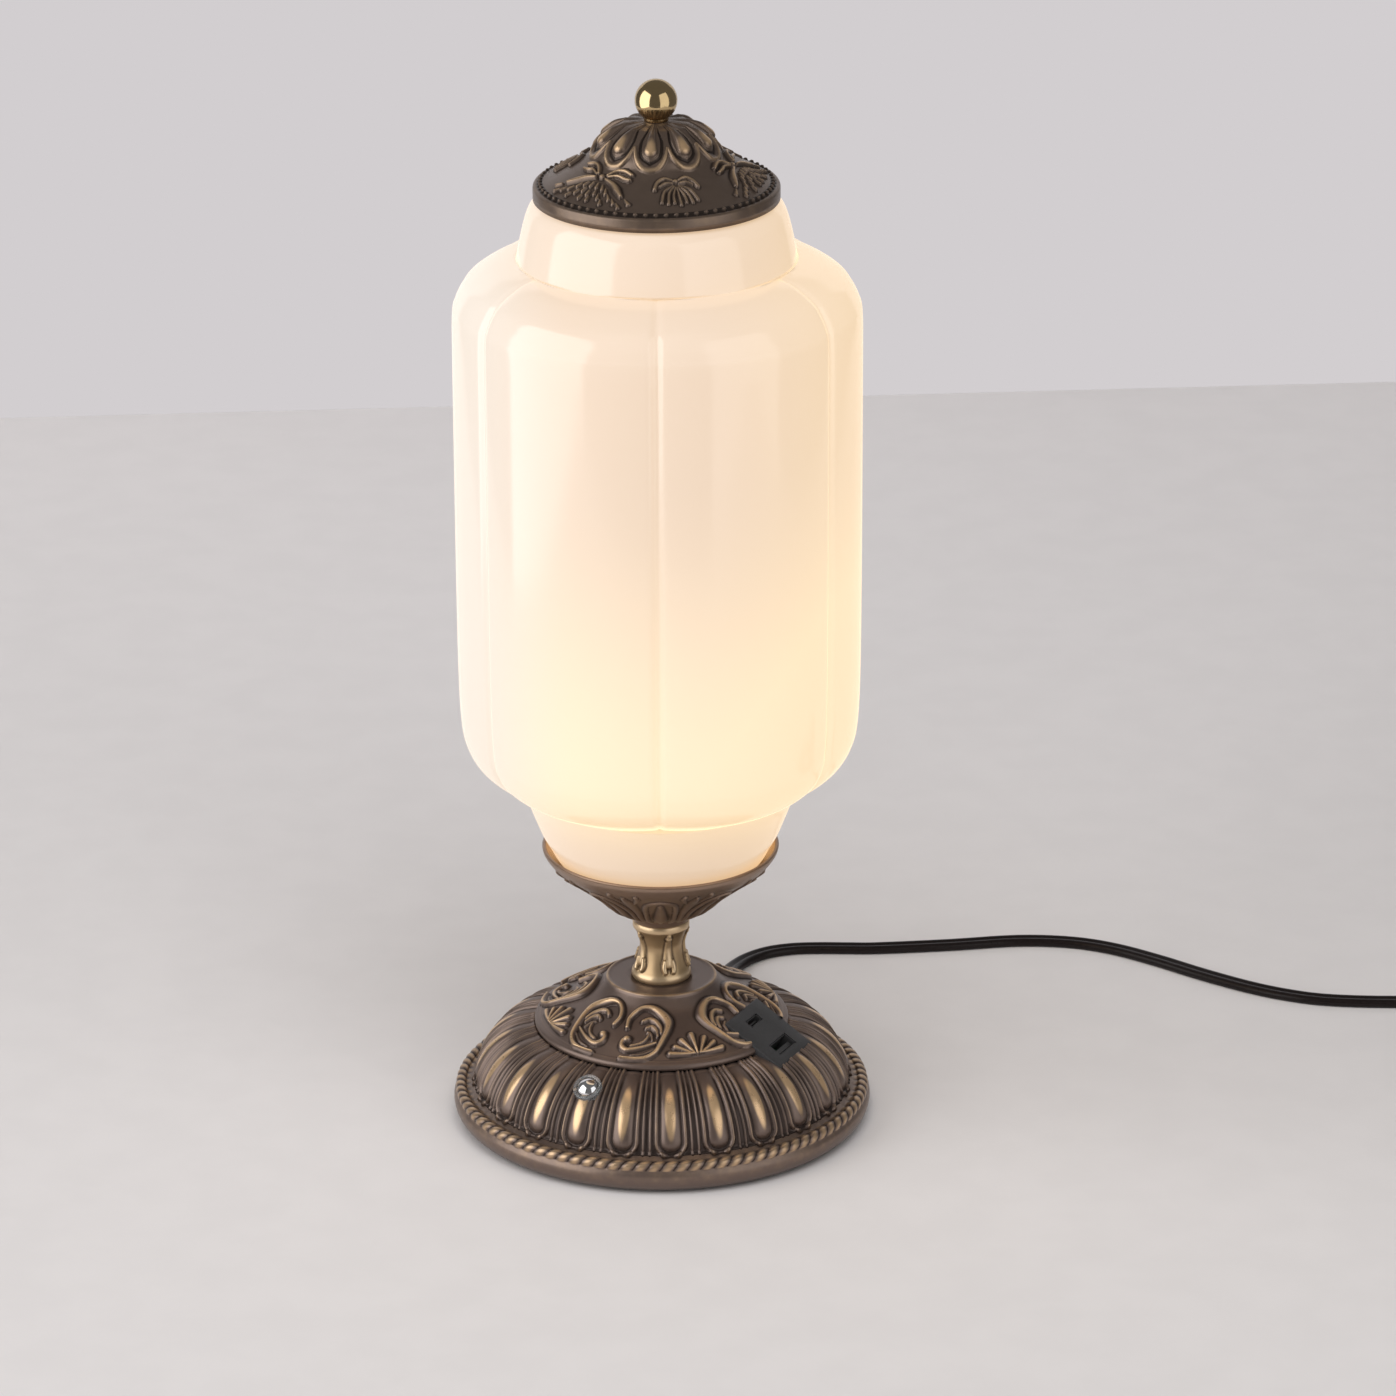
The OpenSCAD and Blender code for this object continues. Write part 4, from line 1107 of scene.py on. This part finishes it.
        edge = np.minimum(np.abs(at.along - crest), np.abs(at.along - lip) * 1.3 + 0.5) / 1.1
        rise = np.maximum.reduce([rise, fan_rise, 0.35 * rounded(edge, 1)])
        return rise, worn(rub, fan_rub, 0.55 * np.clip(1 - edge, 0, 1))


@dataclass
class Switch:
    """A chrome dome in a clear ring on one of the tongues."""

    azimuth: float = Base.first
    out: float = 60.85
    up: float = 33.27
    lean: float = 34.0
    button_r: float = 3.85
    ring_r: float = 5.6
    dome: float = 1.9
    under_ring: float = 1.2

    def place(self) -> Matrix:
        """Its seat on the base."""
        return seat(self.azimuth, self.out, self.up, self.lean)

    def covers(self, spot: Vector) -> bool:
        """True if a point in the seat's frame, in mm, lies under the dome or just under its ring."""
        return math.hypot(spot.x, spot.y) < self.button_r + self.under_ring

    def build(self, shop: Workshop) -> None:
        """Makes the ring and the dome."""
        r, edge = self.ring_r, self.button_r + 0.3
        outside = [(r - 0.3, -1.6), (r, -0.4), *arc(r - 0.75, 0.65, 0.75, 0, 90, 6)]
        ring = Turning([*outside, (edge + 0.25, 1.3), (edge, 1.05), (edge, -2.0)], steps=72)
        shop.turned("switch_ring", ring, "base", "clear_plastic", "button_collar", place=self.place())
        big = (self.button_r**2 + self.dome**2) / 2 / self.dome
        start = math.degrees(math.acos(self.button_r / big))
        cap = arc(0, 1.2 + self.dome - big, big, start, 90, 10)
        dome = Turning([(0, -2.2), (self.button_r, -2.2), *cap], steps=72)
        shop.turned("switch_dome", dome, "button", "chrome", "button", place=self.place())


@dataclass
class ChargingSocket:
    """The dark block let into the slope, with a small upper and a larger lower port."""

    azimuth: float = Base.first + 90
    out: float = 46.0
    up: float = 41.0
    lean: float = 31.0
    long: float = 27.4
    wide: float = 26.7
    deep: float = 11.0
    bevel: float = 0.7
    ports: tuple[Point, ...] = ((-7.3, 3.5, 9.2), (6.9, 5.9, 13.3))
    port_depth: float = 8.0

    def place(self) -> Matrix:
        """Its seat on the base."""
        return seat(self.azimuth, self.out, self.up, self.lean)

    def covers(self, spot: Vector) -> bool:
        """True if a point in the seat's frame, in mm, lies under the block."""
        return abs(spot.x) < self.long / 2 and abs(spot.y) < self.wide / 2

    def build(self, shop: Workshop) -> None:
        """Makes the block with both ports sunk into its face."""
        bm = bmesh.new()
        size = Matrix.Diagonal((self.long, self.wide, self.deep, 1))
        bmesh.ops.create_cube(bm, size=1, matrix=Matrix.Translation((0, 0, -self.deep / 2)) @ size)
        upper = [e for e in bm.edges if any(v.co.z > -0.1 for v in e.verts)]
        bmesh.ops.bevel(
            bm, geom=upper, offset=self.bevel, segments=3, profile=0.5, affect="EDGES", material=-1
        )
        for x, high, wide in self.ports:
            ends = [((place, 0, 0), (1, 0, 0)) for place in (x - high / 2, x + high / 2)]
            sides = [((0, place, 0), (0, 1, 0)) for place in (-wide / 2, wide / 2)]
            for at, normal in ends + sides:
                whole = bm.verts[:] + bm.edges[:] + bm.faces[:]
                bmesh.ops.bisect_plane(bm, geom=whole, plane_co=at, plane_no=normal)
        for x, high, wide in self.ports:
            mouth = [f for f in bm.faces if self.in_port(f.calc_center_median(), x, high, wide)]
            grown = bmesh.ops.extrude_face_region(bm, geom=mouth)["geom"]
            bmesh.ops.delete(bm, geom=mouth, context="FACES_ONLY")
            moved = [v for v in grown if isinstance(v, bmesh.types.BMVert)]
            bmesh.ops.translate(bm, verts=moved, vec=(0, 0, -self.port_depth))
        bmesh.ops.recalc_face_normals(bm, faces=bm.faces)
        bmesh.ops.transform(bm, matrix=self.place() @ Matrix.Scale(MM, 4), verts=bm.verts)
        shop.piece("socket_block", bm, "base", "charcoal_plastic", "usb_housing", crease=20)

    def dress(self, shop: Workshop) -> None:
        """Makes what is in the ports as dark as the photograph shows it."""
        for node in ("usb_a_shell", "usb_a_tongue", "usb_c_shell", "usb_c_tongue"):
            shop.dress(frame["nodes"][node], "charcoal_plastic")

    def in_port(self, spot: Vector, x: float, high: float, wide: float) -> bool:
        """True if a point of the face lies in a port's mouth."""
        return abs(spot.z) < 0.01 and abs(spot.x - x) < high / 2 and abs(spot.y) < wide / 2


@dataclass
class Neck:
    """The turned neck, with leaves that hang from beads under its upper ring."""

    foot: float = reach("neck")
    low: float = bottom("neck")
    high: float = top("neck")
    waist: float = 8.2
    leaves: int = 5
    first_leaf: float = 18.0

    def turning(self) -> Turning:
        """The neck's section, from its foot up."""
        foot, waist, low, high = self.foot, self.waist, self.low, self.high
        swell = [(foot - 0.4, low), (foot, low + 1), (foot - 0.2, low + 2.6), (foot - 1.5, low + 5)]
        hollow = [(waist + 0.5, low + 9.6), (waist, low + 13.6), (waist + 0.9, high - 6.2)]
        side = smooth([*swell, *hollow, (foot - 1.2, high - 3.6)], 10)
        ring = [(foot - 0.7, high - 3.2), (foot - 0.5, high - 2.6), (foot - 0.5, high - 0.6)]
        return Turning([*refine(side, 0.4), *ring, (foot - 1, high)], [(5.0, high), (5.0, low)], 240)

    def carve(self, at: Surface) -> Relief:
        """Leaves with a bead above and a split toe below."""
        turning = self.turning()
        on, low, high = turning.by_height, self.low, self.high
        leaf = [
            Stroke(on([(0, high - 4), (0, low + 13), (0, low + 8)]), (0.9, 1.5, 2.3), 1.0, 0.75),
            Stroke(on([(9, low + 9), (11, low + 6.5), (9, low + 4.6)]), (0.9, 1.1, 1.0), 1.5, 0.9),
            Stroke(on([(0, high - 5.2), (0.5, high - 5.2)]), (1.3, 1.3), 1.2, 0.9),
        ]
        rise, rub = raised(leaf, turning, at, self.first_leaf, self.leaves)
        ring = fade(at.height, high - 3.6, high - 2.8)
        foot = fade(at.height, low + 4.5, low + 2.5)
        return rise, worn(rub, np.maximum(ring * 0.6, foot * 0.7))

    def build(self, shop: Workshop) -> None:
        """Makes the neck."""
        shop.turned("neck_turning", self.turning(), "base", "antique_brass", "neck", carving=self.carve)


@dataclass
class Cup:
    """The flared cup that holds the glass, with leaves in low relief under it.

    Attributes:
        inside: mm at the end of the section that are inside the cup.
        inside_painted_light: How bright the inside is painted, 0 to 1, standing in for light from the lit
            glass.
    """

    wide: float = reach("cup")
    low: float = bottom("cup")
    high: float = top("cup")
    inside: float = 14.0
    inside_painted_light: float = 0.9
    leaves: int = 9

    def turning(self) -> Turning:
        """The cup's section, from its foot round the rim to the seat."""
        r, low, high = self.wide, self.low, self.high
        belly = [(10.8, low), (12.8, low + 3.2), (19.8, low + 7.2), (r - 19.6, high - 18.7)]
        flare = [(r - 10.1, high - 11.2), (r - 3.6, high - 6.4), (r - 0.6, high - 2.6), (r, high - 0.7)]
        side = smooth([*belly, *flare], 6)
        rim = arc(r - 0.75, high - 0.75, 0.75, 0, 180, 6)
        inside = [(r - 2.3, high - 3), (r - 5, high - 6), (38.7, low + 23.6), (33.5, low + 23.6)]
        bowl = [(33.5, low + 20.6), (23.4, low + 12.5), (17.6, low + 7.6), (11.6, low + 4)]
        return Turning([*refine(side, 0.55), *rim, *inside], [*bowl, (5, low + 4), (5, low)], 480)

    def carve(self, at: Surface) -> Relief:
        """Leaves that spread from the foot, a brighter rim, and an inside painted bright with light from the
        lit glass.
        """
        turning = self.turning()
        on = turning.by_height
        low, tip = self.low, self.high - 9
        outline = [(13, low + 4), (13.5, low + 9), (10, tip - 4), (4, tip - 0.6), (0, tip)]
        leaf = [
            Stroke(on(outline), (0.7, 1.0, 1.1, 0.9), 0.9, 0.3),
            Stroke(on([(0, low + 4), (0, low + 9), (0, tip - 3.5)]), (1.0, 2.6, 1.0), 0.8, 0.3),
            Stroke(on([(20, low + 6), (19.5, tip - 3), (20, tip + 2.5)]), (0.8, 2.0, 0.6), 0.8, 0.25),
            Stroke(on([(16, tip - 2), (12.5, tip + 1.5), (13, tip + 3.5)]), (0.5, 1.1, 0.8), 0.7, 0.3),
        ]
        rise, rub = raised(leaf, turning, at, 0, self.leaves)
        outside = at.along < turning.lengths()[-1] - self.inside
        rim = fade(at.height, self.high - 1.6, self.high - 0.4) * 0.12
        # Inside the cup the rub is a painted brightness, for light from the lit glass
        return np.where(outside, rise, 0), np.where(outside, worn(rub, rim), self.inside_painted_light)

    def build(self, shop: Workshop) -> None:
        """Makes the cup."""
        shop.turned("cup_casting", self.turning(), "base", "bronze_cup", "cup", carving=self.carve)


@dataclass
class Bulb:
    """The frosted bulb and its screw base."""

    globe_r: float = reach("bulb_globe")
    globe_top: float = top("bulb_globe")
    globe_low: float = bottom("bulb_globe")
    screw_r: float = reach("bulb_base")
    screw_low: float = bottom("bulb_base")
    screw_top: float = top("bulb_base")
    pitch: float = 3.6

    def build(self, shop: Workshop) -> None:
        """Makes the globe and the screw base."""
        start, middle = self.globe_low, self.globe_top - self.globe_r
        neck = smooth([(13.6, start), (15, start + 9), (21, start + 21), (27.4, middle - 11.5)], 5)
        line = [*neck, *arc(0, middle, self.globe_r, -16, 90, 24)]
        globe = Turning(line, [(max(r - 0.8, 0), z - 0.4) for r, z in line[::-1]], 72)
        shop.turned("bulb_glass", globe, "bulb", "frosted_glass", "bulb_globe")
        r, low, high = self.screw_r, self.screw_low, self.screw_top
        side = refine([(r - 0.6, low + 4), (r - 0.6, high)], 0.4)
        base = Turning([(0, low), (4.5, low), (5, low + 1), *side, (0, high)], steps=96)
        shop.turned("bulb_screw", base, "bulb", "aluminium", "bulb_base", carving=self.carve_thread)

    def carve_thread(self, at: Surface) -> Relief:
        """One rolled thread."""
        low, high = self.screw_low, self.screw_top
        on_side = fade(at.height, low + 4, low + 6) * fade(at.height, high - 1, high - 3)
        wave = np.cos(2 * math.pi * (at.height / self.pitch - at.azimuth / 360))
        return np.where(at.radius > 10, 0.55 * wave * on_side, 0), np.zeros(len(at.along))


@dataclass
class Shade:
    """The opal glass: a round foot and collar with six lobes between them."""

    foot: float = bottom("shade")
    high: float = top("shade") - bottom("shade")
    lobes: int = 6
    lobe_axis: float = 15.0
    glass: float = 3.0
    crease_wide: float = 1.2
    crease_deep: float = 1.3

    def section(self) -> list[Point]:
        """(radius, height above the foot, share of the lobes) of the outside."""
        h = self.high
        return [
            (37.5, 0, 0), (40.1, 2.6, 0), (42.4, 7, 0), (45, 11.6, 0), (47.6, 18, 0), (50.2, 25, 0),
            (51, 29.8, 0), (52, 30.8, 1), (61.4, 35.1, 1), (66.3, 38.4, 1), (70.3, 42.8, 1), (73.1, 48.4, 1),
            (74.7, 55.8, 1), (75.6, 74.8, 1), (75.9, 119.8, 1), (75.9, h - 64.7, 1), (75.7, h - 45.7, 1),
            (74.7, h - 40.7, 1), (72.5, h - 36.1, 1), (69.2, h - 31.8, 1), (61.2, h - 26.7, 1),
            (53, h - 24.2, 1), (51.8, h - 23.9, 0), (50.9, h - 19.4, 0), (49.2, h - 11.7, 0),
            (47.2, h - 5.7, 0), (44.4, h - 2.1, 0), (42.8, h, 0),
        ]  # fmt: skip

    def build(self, shop: Workshop) -> None:
        """Makes the glass as one wall."""
        line = [(r, self.foot + z, min(max(share, 0), 1)) for r, z, share in smooth(self.section(), 5)]
        inner = [(r - self.glass, z) for r, z, _ in line[::-3]]
        turning = Turning([(r, z) for r, z, _ in line], inner, 480)
        obj = shop.turned("shade_glass", turning, "shade", "opal_glass", "shade")
        self.lobe(obj.data, [z for _, z, _ in line], [s for _, _, s in line])

    def lobe(self, mesh: bpy.types.Mesh, heights: Sequence[float], shares: Sequence[float]) -> None:
        """Draws the round mesh in between the lobes, which are arcs about axes of their own."""
        spots = spots_of(mesh)
        x, y, z = spots.T / MM
        r = np.hypot(x, y)
        azimuth = np.degrees(np.arctan2(x, -y))
        d = self.lobe_axis * np.interp(z, heights, shares)
        pitch = 360 / self.lobes
        drawn = np.zeros(len(spots))
        soften = np.array((-1.0, -0.5, 0.0, 0.5, 1.0)) * self.crease_wide
        for blur in soften:
            off = np.radians(fold(azimuth + blur, pitch / 2, pitch))
            chord = np.sqrt(np.maximum((r - d) ** 2 - (d * np.sin(off)) ** 2, 0))
            drawn += (d * np.cos(off) + chord) / len(soften)
        from_crease = fold(azimuth, 0, pitch) / self.crease_wide
        drawn -= self.crease_deep * np.exp(-(from_crease**2)) * d / self.lobe_axis
        spots[:, :2] *= (drawn / r)[:, None]
        move_to(mesh, spots)


@dataclass
class Cap:
    """The stamped cap: a plain lip, a bead row, a leaf band and a ring of drops."""

    wide: float = reach("cap")
    seat: float = top("shade") + 0.3
    high: float = 27.3
    drops: int = 10
    first_drop: float = -5.5
    beads: int = 72
    bead_r: float = 0.95
    bead_in: float = 2.6
    sprays: int = 3
    spray_at: float = -43.0
    palmette_at: float = 14.0
    finial_gap: float = 0.3
    ball_sunk: float = 0.35

    def turning(self) -> Turning:
        """The cap's section, from its lip to the top."""
        r, low, high = self.wide, self.seat, self.seat + self.high
        edge = [(r, low - 1.6), (r, low + 0.4), (r, low + 2.4)]
        lip = [*edge, *arc(r - 1.2, low + 2.4, 1.2, 20, 90, 4), (r - 2, low + 3.5)]
        brim = [(r - 2.6, low + 4.2), (r - 7.4, low + 6.4), (r - 13.6, low + 9.9), (r - 18, low + 12.5)]
        dome = [(r - 21.2, low + 15.2), (r - 22.7, low + 18), (r - 25.5, low + 21.4)]
        slope = smooth([*brim, *dome, (r - 29.4, low + 24.4), (12, high - 0.6)], 5)
        shown = [*lip, *refine(slope, 0.45), (5, high + 0.2), (0, high + 0.2)]
        under = [(0, high - 1.6), (11, high - 5), (18, low + 14), (24, low + 11), (37.3, low + 4)]
        inner = [*under, (37.3, low - 6.3), (38.7, low - 6.3), (38.7, low), (r - 1.4, low)]
        return Turning(shown, inner, self.beads * 14)

    def carve(self, at: Surface) -> Relief:
        """Drops on the dome with a crescent under each, leaf sprays and palmettes, and beads."""
        turning = self.turning()
        on = turning.by_radius
        off_drop = np.abs(fold(at.azimuth, self.first_drop, 360 / self.drops))
        across = np.radians(off_drop) * at.radius
        drop = Stroke(on([(0, 11.5), (0, 15.5), (0, 19.9)]), (0.6, 1.5, 2.6))
        cut = Stroke(on([(9, 12), (12, 15), (12.6, 17.6), (9.4, 21.4), (0, 22.9)]), (0.4, 0.7, 0.9))
        scallop = Stroke(on([(17.5, 19), (13.5, 22), (7, 23.6), (0, 24)]), (0.7, 1.3, 1.5))
        nears = [line.nearness(across, at.along, turning.radius) for line in (drop, cut, scallop)]
        swell, groove, rim = (rounded(near, 1) for near in nears)
        hang = (0.3 + 1.3 * fade(at.radius, 10, 17)) * np.sqrt(swell) + 0.8 * rim - 0.6 * groove
        hang_rub = worn(-0.9 * groove, np.maximum(0.85 * swell * fade(at.radius, 14, 19), 0.5 * rim))
        berries = (
            (2, 31.2, 0.5), (6, 31.6, 1.5), (10, 33, 1.5), (4, 34, 0.6), (0, 34.8, 0), (7.5, 35.6, 1),
            (13.5, 35.2, 2), (2.5, 37.2, 0.3), (17.5, 36.8, 2), (11, 37.8, 1), (25, 36.4, 3), (21, 38.4, 2),
        )  # fmt: skip
        spray = [
            Stroke(on([(0, 28.2), (0.5, 28.3)]), (1.3, 1.3), 1.3, 0.7),
            Stroke(on([(4.5, 27.6), (10, 25.4), (17, 24.9), (24, 26.1)]), (0.7, 1.0, 1.1, 0.9), 1.6, 0.75),
            Stroke(on([(6, 28), (13, 27), (19, 27.7), (23.5, 28.1)]), (0.6, 0.9, 1.0, 0.8), 1.5, 0.75),
            Stroke(on([(5, 29.2), (12, 30.4), (17, 32.4), (22, 35.2)]), (0.7, 1.2, 1.4, 0.8), 1.5, 0.7),
            *[Stroke(on([(a, r), (a + lean, r + 1.9)]), (0.4, 0.9), 1.1, 0.6) for a, r, lean in berries],
        ]
        palmette = [
            Stroke(on([(0, 28), (0.5, 28.1)]), (1.1, 1.1), 1.2, 0.65),
            Stroke(on([(2.5, 27.8), (8, 26.9), (12.8, 28.4), (15, 31.4)]), (0.7, 1.0, 1.0, 0.9), 1.3, 0.55),
            Stroke(on([(2.5, 29), (7.5, 28.8), (11.5, 30.2)]), (0.5, 0.8, 0.6), 1.2, 0.5),
            Stroke(on([(2, 30), (8.5, 32.2), (10.6, 36.9)]), (0.4, 0.75, 0.8), 1.0, 0.5),
            Stroke(on([(1.4, 30.2), (5.6, 32.9), (7, 37.6)]), (0.4, 0.7, 0.8), 1.0, 0.5),
            Stroke(on([(0.8, 30.7), (3.2, 34), (3.4, 37.2)]), (0.4, 0.7, 0.8), 1.0, 0.5),
            Stroke(on([(0, 30.7), (0, 38.3)]), (0.4, 0.8), 1.0, 0.5),
        ]
        leaf_rise, leaf_rub = raised(spray, turning, at, self.spray_at, self.sprays)
        palm_rise, palm_rub = raised(palmette, turning, at, self.palmette_at, self.sprays)
        row = on([(0, self.wide - self.bead_in)])[0][1]
        across = np.radians(fold(at.azimuth, 0, 360 / self.beads)) * at.radius
        bead = np.hypot(across, at.along - row) / self.bead_r
        rise = np.maximum.reduce([0.9 * rounded(bead, 0.5), leaf_rise, palm_rise])
        bead_rub = np.where(np.abs(at.along - row) < 1.2, np.interp(bead, (0, 0.7, 1.1), (0.4, 0, -0.9)), 0)
        lip = np.where(at.along < row - 1.4, 0.2, 0)
        return np.where(rise > 0, rise, hang), worn(bead_rub, lip, hang_rub, leaf_rub, palm_rub)

    def build(self, shop: Workshop) -> None:
        """Makes the cap and the ball on it."""
        shop.turned("cap_stamping", self.turning(), "cap", "bronze_cap", "cap", carving=self.carve)
        foot = self.seat + self.high + self.finial_gap
        ball = (top("finial") - foot + self.ball_sunk) / 2
        middle = top("finial") - ball
        ring = [(0, foot), (4.4, foot), (4.6, foot + 0.3), (4.6, foot + 1.2), (4.2, foot + 1.5)]
        finial = Turning([*ring, *arc(0, middle, ball, -57, 90, 32)], steps=96)
        shop.turned("finial_ball", finial, "finial", "polished_brass", "finial")


def main() -> None:
    """Builds the lamp from the table up."""
    logging.basicConfig(level=logging.INFO, format="%(name)s: %(message)s")
    Studio().build()
    shop = Workshop()
    for maker in (Cord(), Base(), Switch(), ChargingSocket(), Neck(), Cup(), Bulb(), Shade(), Cap()):
        LOG.info("building %s", type(maker).__name__)
        maker.build(shop)
    shop.dress_nodes()
    ChargingSocket().dress(shop)


if __name__ == "__main__":
    main()
